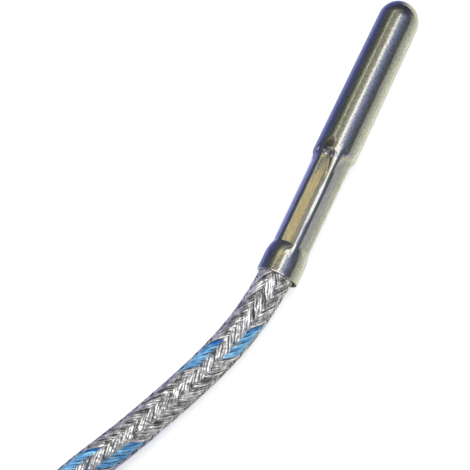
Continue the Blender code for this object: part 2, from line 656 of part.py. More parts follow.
def make_boot(finish):
    """The tapered strain relief, held by its flange behind the body's rear wall."""
    bore = LEAD_RADIUS + TIGHT_FIT
    outside = PLUG_BACK - TIGHT_FIT
    inside = POCKET_BACK + TIGHT_FIT
    end = PLUG_BACK - BOOT_LENGTH
    soft = BOOT_EDGE_RADIUS
    outer = [(end, BOOT_END_DIAMETER / 2 - soft / 2), (end + soft, BOOT_END_DIAMETER / 2),
             (outside - soft, BOOT_ROOT_DIAMETER / 2), (outside, BOOT_ROOT_DIAMETER / 2 - soft / 2),
             (outside, BOOT_NECK_DIAMETER / 2), (inside, BOOT_NECK_DIAMETER / 2),
             (inside, BOOT_FLANGE_DIAMETER / 2), (inside + BOOT_FLANGE_LENGTH, BOOT_FLANGE_DIAMETER / 2)]
    profile = [*outer, (inside + BOOT_FLANGE_LENGTH, bore), (end, bore)]
    mesh = turned_mesh("plug_boot", profile, Matrix.Identity(4), wrap=True)
    place_in_plug(add_object("plug_boot", mesh, finish))


def make_lead_in_plug(core_finish, wire_finishes, sleeve_finishes):
    """The lead's end in the plug: the core, then each sleeved wire bent out to its screw."""
    core_start = POCKET_BACK + TIGHT_FIT + BOOT_FLANGE_LENGTH
    core_end = core_start + PLUG_CORE_LENGTH
    core_radius = LEAD_RADIUS - BRAID_WALL - TIGHT_FIT
    core_mesh = turned_mesh("core_in_plug", [(core_start, core_radius), (core_end, core_radius)],
                            Matrix.Identity(4))
    place_in_plug(add_object("core_in_plug", core_mesh, core_finish))
    level = BLADE_THICKNESS / 2 + SLEEVE_DIAMETER / 2 + TIGHT_FIT
    wire_start = core_end + BUTT_GAP
    stop = TERMINAL_SCREW_X - SCREW_HEAD_DIAMETER / 2 - TIGHT_FIT
    for (name, across, _), wire_finish, sleeve_finish in zip(BLADES, wire_finishes, sleeve_finishes):
        points = []
        for share in np.linspace(0.0, 1.0, 9):
            x = wire_start + share * (stop - wire_start)
            y = WIRE_SPACING / 2 + (BLADE_SPACING / 2 - WIRE_SPACING / 2) * blend(share / SPREAD_BY_SHARE)
            points.append(Vector((x, across * y, level * blend(share / LIFTED_BY_SHARE))))
        place_in_plug(tube_along(f"{name}_wire_tail", points, WIRE_DIAMETER, wire_finish, 2))
        sleeved = points[:7]
        rings = []
        for radius, order in ((SLEEVE_DIAMETER / 2, sleeved), (SLEEVE_BORE / 2, sleeved[::-1])):
            rings += [ring_round(points, point, radius) for point in order]
        mesh = skin(f"{name}_sleeve_tail", rings, wrap=True)
        place_in_plug(add_object(f"{name}_sleeve_tail", mesh, sleeve_finish))


def ring_round(path, point, radius, segments=12):
    """A ring of points square to a path at one of its points."""
    index = path.index(point)
    before = path[max(index - 1, 0)]
    after = path[min(index + 1, len(path) - 1)]
    forward = (after - before).normalized()
    side = forward.cross(Vector((0.0, 0.0, 1.0))).normalized()
    up = side.cross(forward)
    turns = [2 * math.pi * step / segments for step in range(segments)]
    return [point + radius * (math.cos(turn) * side + math.sin(turn) * up) for turn in turns]


def build():
    """Model every piece of the probe."""
    clear_scene()
    steel = material("stainless_steel", (0.62, 0.61, 0.58), 0.22, 1.0)
    braid = material("steel_braid", (0.60, 0.60, 0.60), 0.35, 1.0)
    glass_fibre = material("glass_fibre", (0.80, 0.78, 0.70), 0.8, 0.0)
    cement = material("ceramic_cement", (0.78, 0.76, 0.70), 0.9, 0.0)
    nickel = material("nickel_alloy", (0.58, 0.56, 0.52), 0.3, 1.0)
    copper = material("copper_alloy", (0.72, 0.50, 0.36), 0.3, 1.0)
    white_sleeve = material("positive_sleeve", (0.80, 0.80, 0.74), 0.8, 0.0)
    blue_sleeve = material("negative_sleeve", (0.16, 0.33, 0.58), 0.8, 0.0)
    plastic = material("plug_plastic", (0.06, 0.20, 0.46), 0.4, 0.0)
    rubber = material("boot_rubber", (0.03, 0.04, 0.06), 0.6, 0.0)
    brass = material("brass", (0.75, 0.60, 0.30), 0.3, 1.0)
    strap = material("tie_strap", (0.04, 0.04, 0.045), 0.7, 0.0)
    make_tube(steel)
    make_lead_in_tube(braid, glass_fibre)
    make_junction((nickel, copper), (white_sleeve, blue_sleeve), nickel, cement)
    run = smooth_points(RUN_ROUTE, 2 * LEAD_DIAMETER)
    run[0, 0] -= BUTT_GAP
    run = np.insert(run, 1, run[0] - (LEAD_RADIUS, 0.0, 0.0), axis=0)
    tube_along("lead_run", run, LEAD_DIAMETER, braid)
    make_coil(braid, strap)
    tail = smooth_points(TAIL_ROUTE, LEAD_DIAMETER)
    tube_along("lead_tail", tail, LEAD_DIAMETER, braid)
    make_plug_body(plastic)
    for name, across, width in BLADES:
        make_blade(f"{name}_blade", across, width, nickel if across > 0 else copper)
    make_fasteners(brass, steel)
    make_boot(rubber)
    make_lead_in_plug(glass_fibre, (nickel, copper), (white_sleeve, blue_sleeve))


build()
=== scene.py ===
"""Looks of the thermocouple probe: a crimped steel tube, its braided lead and the plug."""
import math

import bpy
import numpy as np
from mathutils import Matrix, Vector


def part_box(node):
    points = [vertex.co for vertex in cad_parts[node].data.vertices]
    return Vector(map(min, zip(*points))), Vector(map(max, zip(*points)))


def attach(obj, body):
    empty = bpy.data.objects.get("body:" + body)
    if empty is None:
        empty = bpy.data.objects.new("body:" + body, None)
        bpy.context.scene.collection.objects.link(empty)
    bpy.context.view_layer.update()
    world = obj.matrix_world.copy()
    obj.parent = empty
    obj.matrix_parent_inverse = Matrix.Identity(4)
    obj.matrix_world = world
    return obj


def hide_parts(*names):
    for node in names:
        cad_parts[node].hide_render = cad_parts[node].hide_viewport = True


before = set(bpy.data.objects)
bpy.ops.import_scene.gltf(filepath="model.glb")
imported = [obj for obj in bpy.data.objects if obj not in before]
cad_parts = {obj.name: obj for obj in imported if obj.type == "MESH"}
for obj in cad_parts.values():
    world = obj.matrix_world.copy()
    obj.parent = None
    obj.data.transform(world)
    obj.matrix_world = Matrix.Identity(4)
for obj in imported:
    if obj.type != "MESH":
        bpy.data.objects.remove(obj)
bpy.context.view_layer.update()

MM = 0.001

# Steel tube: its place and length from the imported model, and the forms along it from its mouth
TUBE_LOW, TUBE_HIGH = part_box("sheath_tube")
TUBE_LENGTH = TUBE_HIGH.x - TUBE_LOW.x
TUBE_RADIUS = 3.0 * MM
TUBE_WALL = 0.4 * MM
MOUTH_X = TUBE_LOW.x
RIM_ROUND = 0.06 * MM
COLLAR_END = 2.4 * MM
CRIMP_START = 4.7 * MM
CRIMP_END = 17.95 * MM
CRIMP_TOP = 19.4 * MM
CRIMP_SLANT = 0.6 * MM
HIGHEST_ON_TURN = math.radians(-60.0)
CORNER_RUN_OUT = 1.3 * MM
LONG_CORNER = 4.5 * MM
LONG_CORNER_TURN = math.radians(-7.0)
LONG_CORNER_SPREAD = math.radians(12.0)
CRIMP_APOTHEM = 2.55 * MM
CRIMP_CORNER = 1.1 * MM
FLAT_CROWN_RADIUS = 10.0 * MM
CRIMP_TURN = math.radians(17.3)
CRIMP_SIDES = 6
SWELL_ABOVE_CRIMP = 0.09 * MM
SWELL_RISE = 1.5 * MM
TIP_NARROWING = 0.6
FLAT_STEEPNESS = 0.8
FOOT_POWER = 1.1
FOOT_POWER_ON_FLATS = 0.9
CORNER_END_SHARE = 0.4

# Tool marks above the flat that faces up: how far from the mouth, and how far off the flat's middle
HOLLOW_DEPTH = 0.13 * MM
HOLLOW_AT = 20.05 * MM
HOLLOW_ASIDE = 0.58 * MM
HOLLOW_HALF_LENGTH = 0.85 * MM
HOLLOW_HALF_WIDTH = 0.72 * MM
NOTCH_DEPTH = 0.018 * MM
NOTCH_AT = 18.75 * MM
NOTCH_ASIDE = 0.15 * MM
NOTCH_LENGTH = 1.25 * MM
NOTCH_HALF_WIDTH = 0.85 * MM
NOTCH_EDGE = 0.45 * MM
NOTCH_START = 0.4
# Painted shade over the notch: where it starts and fades, how dark, and how much darker on one side
SHADE_AT = 19.35 * MM
SHADE_FADE = 0.3 * MM
SHADE_LIGHTEST = 0.80
SHADE_RANGE = 0.17
SHADE_TURN_FROM = 0.45 * MM
SHADE_TURN = 0.5 * MM

# The tube's grid: its columns, the rows of its dome, and below that (from, to, rows)
TUBE_COLUMNS = 192
DOME_LIFTS = np.radians(np.linspace(86.0, 3.0, 26))
RIM_TURNS = np.radians(np.linspace(0.0, 90.0, 4))
BODY_ROWS = [
    (TUBE_LENGTH - TUBE_RADIUS, 23.5 * MM, 36),
    (23.4 * MM, 17.2 * MM, 90),
    (17.0 * MM, 5.4 * MM, 34),
    (5.3 * MM, 1.9 * MM, 34),
    (1.7 * MM, 0.2 * MM, 6),
]

# Lead
LEAD_DIAMETER = 4.8 * MM
LEAD_RADIUS = LEAD_DIAMETER / 2
MOUTH_DEPTH = 2.6 * MM
CARRIERS = 8
BRAID_LAY = 22.6 * MM
BRAID_PHASE = math.radians(42.0)
BRAID_PHASE_AT = 10.2 * MM
RIB_TURN = math.pi / 4
RIBS_ROUND = 4
RIB_STEEPNESS = 0.8
STRANDS_PER_CARRIER = 4
STRANDS_SPREAD = 0.98
BAND_SPREAD = 0.48
STRAND_WIDTH = 0.42 * MM
STRAND_THICKNESS = 0.12 * MM
STRAND_ROLL = 0.27
STRAND_WANDER = 0.03
FLOAT_RISE = 0.17 * MM
FLOAT_ARCH = 0.05 * MM
BUNCHED_UNDER = 0.84
FINE_BRAID_LENGTH = 66 * MM
FINE_STEP = 0.32 * MM
COARSE_STEP = 0.72 * MM
BLUE_CARRIERS = (0, 7)
ROLL_SEED = 11
WANDER_SEED = 17
TONE_SEED = 5
UNEVEN_WAVES = ((4.6 * MM, 0.5), (2.3 * MM, 0.7), (1.3 * MM, 0.4))
CORE_COLUMNS = 12
CORE_STEP = 0.9 * MM

# Coil of spare lead
COIL_CENTRE = np.array([-84.9, -14.1]) * MM
COIL_MEAN_RADIUS = 24.7 * MM
COIL_START = math.radians(92.0)
COIL_TURNS = (0.04, 5.58)
COIL_KNOTS = 135
COIL_BLEND = 0.12
LAYER_CLIMB = 0.25
SECOND_LAYER_AT = 2.0
THIRD_LAYER_AT = 4.25
TIE_ANGLE = math.radians(265.0)
TIE_SQUEEZE_ACROSS = 0.95
TIE_SQUEEZE_DOWN = 0.88
TIE_REACH = 10.0 * MM
WEAVE_PITCH = 1.1 * MM

# Plug, in its own frame: +X towards the blades
PLUG_MIDDLE = Vector((-97.731, 11.117, 18.7)) * MM
PLUG_HEADING = math.radians(163.4)
PLUG_BACK = -9.5 * MM
REAR_WALL = 2.0 * MM
PLUG_GAP = 0.05 * MM
BLADE_SPACING = 7.9 * MM
PLUG_HALF_WIDTH = 8.0 * MM
PLUG_HALF_THICKNESS = 4.0 * MM
GRIP_START = -7.9 * MM
GRIP_END = -3.6 * MM
GRIP_RIBS = 6
RIB_HALF_WIDTH = 0.24 * MM
RIB_RISE = 0.2 * MM
RIB_SINK = 0.06 * MM
RIB_HALF_LENGTH = 6.0 * MM
BAR_STEPS = 13
BAR_ARCH = 7
SIDE_RIB_FROM = 0.5 * MM
SIDE_RIB_TO = 2.9 * MM
SIGN_AT = 7.2 * MM
SIGN_REACH = 0.9 * MM
SIGN_HALF_WIDTH = 0.2 * MM
SIGN_RISE = 0.12 * MM

# Ribbed boot
BOOT_COLUMNS = 72
BOOT_ROWS = 97
BOOT_LENGTH = 10.0 * MM
BOOT_ROOT_RADIUS = 3.6 * MM
BOOT_END_RADIUS = 2.9 * MM
BOOT_NECK_RADIUS = 2.8 * MM
BOOT_FLANGE_RADIUS = 3.0 * MM
BOOT_FLANGE_LENGTH = 1.0 * MM
BOOT_RIBS = 6
BOOT_GROOVE = 0.28 * MM

# The same route as in the part's source, in metres
RUN_ROUTE = [
    (-0.0222, 0.00015, 0.0030),
    (-0.0245, 0.00035, 0.00293),
    (-0.0275, 0.00068, 0.00275),
    (-0.0305, 0.00124, 0.00255),
    (-0.0335, 0.00202, 0.00243),
    (-0.0379, 0.00346, 0.0024),
    (-0.0421, 0.0051, 0.0024),
    (-0.0463, 0.00686, 0.0024),
    (-0.0517, 0.0093, 0.0024),
    (-0.0573, 0.0121, 0.0024),
    (-0.0625, 0.0143, 0.0024),
    (-0.0675, 0.0156, 0.0024),
    (-0.0730, 0.0162, 0.0024),
    (-0.0795, 0.0161, 0.0024),
]
COIL_TO_TAIL = [
    (-0.06535, -0.0273, 0.01235),
    (-0.0627, -0.02005, 0.0133),
    (-0.06285, -0.0122, 0.0151),
]
TAIL_ROUTE = [
    (-0.0662, -0.00455, 0.0172),
    (-0.0680, -0.0020, 0.0175),
    (-0.07005, 0.00027, 0.0178),
    (-0.0724, 0.00225, 0.01815),
    (-0.0750, 0.00385, 0.0185),
    (-0.0790, 0.00553, 0.0187),
    (-0.0838, 0.00697, 0.0187),
    (-0.0886, 0.0084, 0.0187),
    (-0.0915, 0.00926, 0.0187),
]

# Grain of the plain finishes, per metre
FINISH_GRAIN = 3000.0

# Studio
FLOOR_REACH = 25.0 * MM
FLOOR_HALF = 0.6
FLOOR_DROP = 0.05 * MM
FLOOR_LIFT = 0.42
ARCS_START = 0.27
ARCS_RATE = 1.5
TIP_FADE = (0.35, 0.97)
MOUTH_FADE = (-0.16, -0.02)
SIDE_BLEND = (-0.3, 0.3)
LAMP_SIZE = 0.5
LAMP_ENERGY = 1.6
LAMP_PLACE = Vector((0.15, 0.1, 0.6))
LAMP_AIM = Vector((-0.02, 0.0, 0.0))

# Level cards that only reflections show: two (x, y) corners in millimetres, and their light
CARD_HEIGHT = 45.0
CARDS = {
    "warm_card": ((-8.5, 23.0), (8.4, 39.5), (0.78, 0.65, 0.35)),
    "corner_card": ((-2.6, -13.0), (10.0, 15.0), (1.55, 1.56, 1.48)),
    "lead_card": ((-52.0, -20.0), (-15.5, 34.0), (1.7, 1.7, 1.65)),
}

# Camera: the photograph's direction, found from the tube's outline and its open mouth
CAMERA_TARGET = Vector((-19.34, 7.71, 3.0)) * MM
CAMERA_DISTANCE = 300.0 * MM
CAMERA_LEAN = math.radians(13.7)
CAMERA_ROLL = math.radians(25.73)
CAMERA_LENS = 166.3
SENSOR_WIDTH = 36.0


def natural_curve(knots, step):
    """Points a step apart along the natural cubic curve through the knots, by chord length."""
    knots = np.array(knots, float)
    gaps = np.linalg.norm(np.diff(knots, axis=0), axis=1)
    at = np.concatenate([[0.0], np.cumsum(gaps)])
    count = len(knots)
    system = np.eye(count)
    inner = np.arange(1, count - 1)
    system[inner, inner - 1] = gaps[:-1]
    system[inner, inner] = 2 * (gaps[:-1] + gaps[1:])
    system[inner, inner + 1] = gaps[1:]
    slopes = np.diff(knots, axis=0) / gaps[:, None]
    bends = np.zeros((count, 3))
    bends[1:-1] = 6 * np.diff(slopes, axis=0)
    second = np.linalg.solve(system, bends)
    wanted = np.linspace(0.0, at[-1], int(round(at[-1] / step)) + 1)
    found = np.clip(np.searchsorted(at, wanted, side="right") - 1, 0, count - 2)
    width = gaps[found][:, None]
    near = (at[found + 1] - wanted)[:, None]
    far = (wanted - at[found])[:, None]
    curve = (near ** 3 * second[found] + far ** 3 * second[found + 1]) / (6 * width)
    curve += (knots[found] / width - second[found] * width / 6) * near
    return curve + (knots[found + 1] / width - second[found + 1] * width / 6) * far


def coil_points():
    """The coil's turns: three layers that spiral in, out and in again, one above another."""
    turns = np.linspace(*COIL_TURNS, COIL_KNOTS)
    steps = [0.0, 2.0, 2.25, 4.25, 4.4, 6.4]
    reach = COIL_MEAN_RADIUS + LEAD_DIAMETER * np.array([1, -1, -1, 1, 1, -1])
    shifts = (-COIL_BLEND, 0.0, COIL_BLEND)
    radius = np.mean([np.interp(turns + shift, steps, reach) for shift in shifts], axis=0)
    climb = np.clip((turns - SECOND_LAYER_AT) / LAYER_CLIMB, 0, 1)
    climb = climb + np.clip((turns - THIRD_LAYER_AT) / LAYER_CLIMB, 0, 1)
    share = climb - np.floor(climb)
    layer = np.floor(climb) + share * share * (3 - 2 * share)
    height = LEAD_RADIUS + LEAD_DIAMETER * layer
    angle = COIL_START + 2 * math.pi * turns
    away = (angle - TIE_ANGLE + math.pi) % (2 * math.pi) - math.pi
    nearness = np.exp(-((away * radius / TIE_REACH) ** 2))
    middle = 1.5 * LEAD_DIAMETER
    pull = 1 - (1 - TIE_SQUEEZE_ACROSS) * nearness
    radius = COIL_MEAN_RADIUS + (radius - COIL_MEAN_RADIUS) * pull
    height = middle + (height - middle) * (1 - (1 - TIE_SQUEEZE_DOWN) * nearness)
    across = COIL_CENTRE[0] + radius * np.cos(angle)
    along = COIL_CENTRE[1] + radius * np.sin(angle)
    return np.stack([across, along, height], axis=1)


class Path:
    """A lead's centreline with its length, its direction and an upright frame at each point."""

    def __init__(self, knots, step):
        self.points = natural_curve(knots, step)
        gaps = np.linalg.norm(np.diff(self.points, axis=0), axis=1)
        self.along = np.concatenate([[0.0], np.cumsum(gaps)])
        self.length = self.along[-1]
        forward = np.gradient(self.points, axis=0)
        self.forward = forward / np.linalg.norm(forward, axis=1, keepdims=True)
        left = np.cross([0.0, 0.0, 1.0], self.forward)
        self.left = left / np.linalg.norm(left, axis=1, keepdims=True)
        self.up = np.cross(self.forward, self.left)

    def at(self, along):
        """Centre, left and up at distances along the path; before its start it runs straight back."""
        inside = np.clip(along, 0.0, self.length)
        found = []
        for values in (self.points, self.left, self.up):
            found.append(np.stack([np.interp(inside, self.along, values[:, k]) for k in range(3)], -1))
        centre, left, up = found
        centre = centre + (along - inside)[..., None] * self.forward[0]
        return centre, left, up


def make_piece(name, points, faces, finishes, face_finish=None, marks=None):
    """A mesh from an array of points and a list of face arrays, with a material for each face."""
    mesh = bpy.data.meshes.new(name)
    points = np.asarray(points, np.float32).reshape(-1, 3)
    sizes = np.concatenate([np.full(len(group), group.shape[1]) for group in faces])
    corners = np.concatenate([group.ravel() for group in faces])
    mesh.vertices.add(len(points))
    mesh.vertices.foreach_set("co", points.ravel())
    mesh.loops.add(len(corners))
    mesh.loops.foreach_set("vertex_index", corners.astype(np.int32))
    mesh.polygons.add(len(sizes))
    starts = np.concatenate([[0], np.cumsum(sizes)[:-1]])
    mesh.polygons.foreach_set("loop_start", starts.astype(np.int32))
    mesh.polygons.foreach_set("use_smooth", np.full(len(sizes), True))
    if face_finish is not None:
        mesh.polygons.foreach_set("material_index", face_finish.astype(np.int32))
    for finish in finishes:
        mesh.materials.append(finish)
    for mark, values in (marks or {}).items():
        mesh.attributes.new(mark, "FLOAT", "POINT")
        mesh.attributes[mark].data.foreach_set("value", np.asarray(values, np.float32).ravel())
    mesh.update(calc_edges=True)
    mesh.validate()
    item = bpy.data.objects.new(name, mesh)
    bpy.context.scene.collection.objects.link(item)
    return item


def grid_faces(rows, columns, closed_rows=False):
    """Quads of a grid whose columns close on themselves, and whose rows may too."""
    row = np.arange(rows if closed_rows else rows - 1)[:, None]
    column = np.arange(columns)[None, :]
    after_row = (row + 1) % rows
    after_column = (column + 1) % columns
    corners = (row * columns + column, row * columns + after_column,
               after_row * columns + after_column, after_row * columns + column)
    return np.stack(corners, axis=-1).reshape(-1, 4)


def strand_mesh(name, sections, finishes, strand_finish, marks=None):
    """Many closed strands at once from sections[strand, step, corner, xyz], with flat ends."""
    strands, steps, corners, _ = sections.shape
    per_strand = steps * corners
    first = (np.arange(strands) * per_strand)[:, None, None]
    sides = (grid_faces(steps, corners)[None] + first).reshape(-1, 4)
    start = np.arange(corners)[::-1]
    end = per_strand - corners + np.arange(corners)
    caps = (np.stack([start, end])[None] + first).reshape(-1, corners)
    per_side = grid_faces(steps, corners).shape[0]
    finish = np.concatenate([np.repeat(strand_finish, per_side), np.repeat(strand_finish, 2)])
    shape = sections.shape[:3]
    spread = {mark: np.broadcast_to(values, shape) for mark, values in (marks or {}).items()}
    return make_piece(name, sections, [sides, caps], finishes, finish, spread)


def node(tree, kind, **settings):
    """A shader node with its settings and input values."""
    made = tree.nodes.new(kind)
    for key, value in settings.items():
        if key in made.inputs:
            made.inputs[key].default_value = value
        else:
            setattr(made, key, value)
    return made


def new_material(name):
    """A node material: its tree, its Principled shader, and Object coordinates."""
    made = bpy.data.materials.new(name)
    made.use_nodes = True
    tree = made.node_tree
    shader = tree.nodes["Principled BSDF"]
    place = node(tree, "ShaderNodeTexCoord").outputs["Object"]
    return made, tree, shader, place


def set_inputs(shader, values):
    """Set constant values on a shader's own sockets."""
    for key, value in values.items():
        shader.inputs[key].default_value = value


def ramp(tree, source, stops, interpolation="LINEAR"):
    """A colour ramp with listed stops: (place, colour)."""
    made = tree.nodes.new("ShaderNodeValToRGB")
    made.color_ramp.interpolation = interpolation
    elements = made.color_ramp.elements
    while len(elements) < len(stops):
        elements.new(1.0)
    for element, (place, colour) in zip(elements, stops):
        element.position = place
        element.color = (*colour, 1.0)
    tree.links.new(source, made.inputs["Fac"])
    return made.outputs["Color"]


def stretched(tree, place, scale):
    """Coordinates scaled by their own amount along each axis."""
    mapping = node(tree, "ShaderNodeMapping")
    mapping.inputs["Scale"].default_value = scale
    tree.links.new(place, mapping.inputs["Vector"])
    return mapping.outputs["Vector"]


def noise(tree, vector, scale, detail=2.0, roughness=0.5):
    """Noise at a scale per metre."""
    made = node(tree, "ShaderNodeTexNoise")
    set_inputs(made, {"Scale": scale, "Detail": detail, "Roughness": roughness})
    tree.links.new(vector, made.inputs["Vector"])
    return made.outputs["Fac"]


def bump(tree, shader, height, depth, strength=1.0):
    """Bump from a height field, its depth in metres."""
    made = node(tree, "ShaderNodeBump")
    set_inputs(made, {"Strength": strength, "Distance": depth})
    tree.links.new(height, made.inputs["Height"])
    tree.links.new(made.outputs["Normal"], shader.inputs["Normal"])
    return made


def limits(tree, source, low, high):
    """Map a 0 to 1 value onto a range."""
    made = node(tree, "ShaderNodeMapRange")
    set_inputs(made, {"To Min": low, "To Max": high})
    tree.links.new(source, made.inputs["Value"])
    return made.outputs["Result"]


def blended(tree, share, colour_at_0, colour_at_1):
    """Mix two colours by a share."""
    made = node(tree, "ShaderNodeMix", data_type="RGBA")
    tree.links.new(share, made.inputs[0])
    for index, colour in ((6, colour_at_0), (7, colour_at_1)):
        if isinstance(colour, tuple):
            made.inputs[index].default_value = colour
        else:
            tree.links.new(colour, made.inputs[index])
    return made.outputs[2]


def calculated(tree, operation, one, two=None):
    """One step of arithmetic on sockets or numbers."""
    made = node(tree, "ShaderNodeMath", operation=operation)
    for index, value in enumerate((one, two)):
        if value is None:
            continue
        if isinstance(value, float):
            made.inputs[index].default_value = value
        else:
            tree.links.new(value, made.inputs[index])
    return made.outputs[0]


def plus(tree, one, two):
    """Two values added."""
    return calculated(tree, "ADD", one, two)


def minus(tree, one, two):
    """The second value taken from the first."""
    return calculated(tree, "SUBTRACT", one, two)


def times(tree, one, two):
    """Two values multiplied."""
    return calculated(tree, "MULTIPLY", one, two)


def distance_of(tree, one, two):
    """Length of the slope over two sides at a right angle."""
    return calculated(tree, "SQRT", plus(tree, times(tree, one, one), times(tree, two, two)))


def axes_of(tree, vector):
    """The x, y and z of a vector."""
    split = node(tree, "ShaderNodeSeparateXYZ")
    tree.links.new(vector, split.inputs[0])
    return split.outputs


def from_mesh(tree, mark):
    """A value that the mesh keeps at its points."""
    return node(tree, "ShaderNodeAttribute", attribute_name=mark).outputs["Fac"]


def streak_cell(tree, across, along):
    """Coordinates for noise that changes across a strand and only slowly along it."""
    cell = node(tree, "ShaderNodeCombineXYZ")
    tree.links.new(across, cell.inputs["X"])
    tree.links.new(along, cell.inputs["Y"])
    return cell.outputs[0]


def mixed(tree, share, one, two):
    """Two shaders mixed by a share."""
    made = node(tree, "ShaderNodeMixShader")
    for index, source in enumerate((share, one, two)):
        tree.links.new(source, made.inputs[index])
    return made.outputs[0]


def smooth_share(tree, source, low, high):
    """0 below low, 1 above high, and a smooth step between."""
    made = node(tree, "ShaderNodeMapRange", interpolation_type="SMOOTHSTEP")
    set_inputs(made, {"From Min": low, "From Max": high})
    tree.links.new(source, made.inputs["Value"])
    return made.outputs["Result"]


def tube_steel():
    """Bright drawn stainless steel: streaks along it, burnished flats, and duller tool marks whose
    colour is darkened as painted shade.
    """
    made, tree, shader, place = new_material("drawn_stainless_steel")
    set_inputs(shader, {"Metallic": 1.0, "Specular IOR Level": 0.5})
    pressed = from_mesh(tree, "pressed")
    dull_and_painted_shade = from_mesh(tree, "dull_and_painted_shade")
    clouds = noise(tree, place, 420.0, 4.0, 0.6)
    tint = ramp(tree, clouds, [(0.3, (0.60, 0.59, 0.56)), (0.7, (0.68, 0.67, 0.64))])
    pits = noise(tree, place, 3300.0, 3.0, 0.6)
    tint = blended(tree, smooth_share(tree, pits, 0.34, 0.54), (0.46, 0.45, 0.42, 1.0), tint)
    rubbed = noise(tree, stretched(tree, place, (0.40, 1.0, 1.0)), 2300.0, 4.0, 0.75)
    burnish = ramp(tree, rubbed, [(0.35, (0.50, 0.49, 0.475)), (0.65, (0.70, 0.69, 0.69))])
    tint = blended(tree, pressed, tint, burnish)
    # Painted shade: the hollow and the shade over the notch darken the steel's colour
    tint = blended(tree, dull_and_painted_shade, tint, (0.13, 0.11, 0.12, 1.0))
    tree.links.new(tint, shader.inputs["Base Color"])
    dulled = plus(tree, limits(tree, clouds, 0.04, 0.08), times(tree, dull_and_painted_shade, 0.25))
    tree.links.new(dulled, shader.inputs["Roughness"])
    streaks = noise(tree, stretched(tree, place, (0.12, 1.0, 1.0)), 2600.0, 4.0, 0.6)
    calm = minus(tree, 1.0, times(tree, pressed, 0.6))
    relief = plus(tree, times(tree, streaks, 0.45), times(tree, pits, 0.55))
    bump(tree, shader, times(tree, relief, calm), 0.026 * MM)
    return made


def braid_strand(name, dark, light, metallic, roughness, mottled):
    """A flattened strand of the braid: mottled by a share, and streaked along its own length."""
    made, tree, shader, place = new_material(name)
    set_inputs(shader, {"Metallic": metallic, "Roughness": roughness})
    tone = from_mesh(tree, "tone")
    patches = noise(tree, place, 1100.0, 2.0, 0.55)
    cell = streak_cell(tree, times(tree, tone, 90.0), times(tree, from_mesh(tree, "along"), 0.45))
    streaks = noise(tree, cell, 1.0, 2.0)
    patterns = plus(tree, times(tree, patches, mottled), times(tree, streaks, 1.2 - mottled))
    shade = plus(tree, times(tree, tone, 0.3), patterns)
    tree.links.new(ramp(tree, shade, [(0.52, dark), (0.95, light)]), shader.inputs["Base Color"])
    bump(tree, shader, noise(tree, place, 850.0, 1.0), 0.5 * MM)
    return made


def braid_band(name, dark, light, metallic, roughness):
    """A carrier's strands as one band, ruled lengthwise into single strands of their own shade."""
    made, tree, shader, _ = new_material(name)
    set_inputs(shader, {"Metallic": metallic, "Roughness": roughness + 0.05})
    strand = times(tree, from_mesh(tree, "across"), STRANDS_PER_CARRIER / 2)
    number = calculated(tree, "FLOOR", strand)
    cell = streak_cell(tree, number, times(tree, from_mesh(tree, "along"), 0.35))
    shade = noise(tree, cell, 1.0, 2.0)
    tree.links.new(ramp(tree, shade, [(0.3, dark), (0.7, light)]), shader.inputs["Base Color"])
    crown = calculated(tree, "ABSOLUTE", calculated(tree, "SINE", times(tree, strand, math.pi)))
    bump(tree, shader, crown, 0.09 * MM)
    return made


def plain_finish(name, dark, light, roughness, metallic=0.0, depth=0.01):
    """A satin or matt finish with fine grain and a little mottling, its depth in millimetres."""
    made, tree, shader, place = new_material(name)
    set_inputs(shader, {"Metallic": metallic})
    fine = noise(tree, place, FINISH_GRAIN, 3.0)
    wide = noise(tree, place, FINISH_GRAIN / 8, 2.0)
    tint = ramp(tree, wide, [(0.3, dark), (0.7, light)])
    tree.links.new(tint, shader.inputs["Base Color"])
    tree.links.new(limits(tree, fine, roughness - 0.06, roughness + 0.06), shader.inputs["Roughness"])
    bump(tree, shader, fine, depth * MM, 0.6)
    return made


def small_metal(name, dark, light, roughness, metallic):
    """A finish for wires, blades and screws: the plain one with hardly any grain."""
    return plain_finish(name, dark, light, roughness, metallic, depth=0.002)


def moulded_plastic():
    """Satin moulded plastic with a fine eroded grain and a little mottling."""
    made, tree, shader, place = new_material("moulded_plug_plastic")
    fine = noise(tree, place, 2600.0, 3.0)
    wide = noise(tree, place, 300.0)
    tint = ramp(tree, wide, [(0.3, (0.035, 0.13, 0.36)), (0.7, (0.05, 0.17, 0.43))])
    tree.links.new(tint, shader.inputs["Base Color"])
    tree.links.new(limits(tree, fine, 0.34, 0.48), shader.inputs["Roughness"])
    bump(tree, shader, fine, 0.015 * MM)
    return made


def strap_weave():
    """A dark woven strap: a plain weave that runs round it."""
    made, tree, shader, place = new_material("woven_strap")
    x, y, z = axes_of(tree, place)
    turns = 2 * math.pi / WEAVE_PITCH
    across = calculated(tree, "SINE", times(tree, x, turns))
    round_it = calculated(tree, "SINE", times(tree, plus(tree, y, z), turns))
    weave = times(tree, across, round_it)
    shade = limits(tree, weave, 0.5, 1.0)
    tint = ramp(tree, shade, [(0.0, (0.02, 0.02, 0.022)), (1.0, (0.07, 0.07, 0.075))])
    tree.links.new(tint, shader.inputs["Base Color"])
    set_inputs(shader, {"Roughness": 0.8})
    bump(tree, shader, weave, 0.05 * MM)
    return made


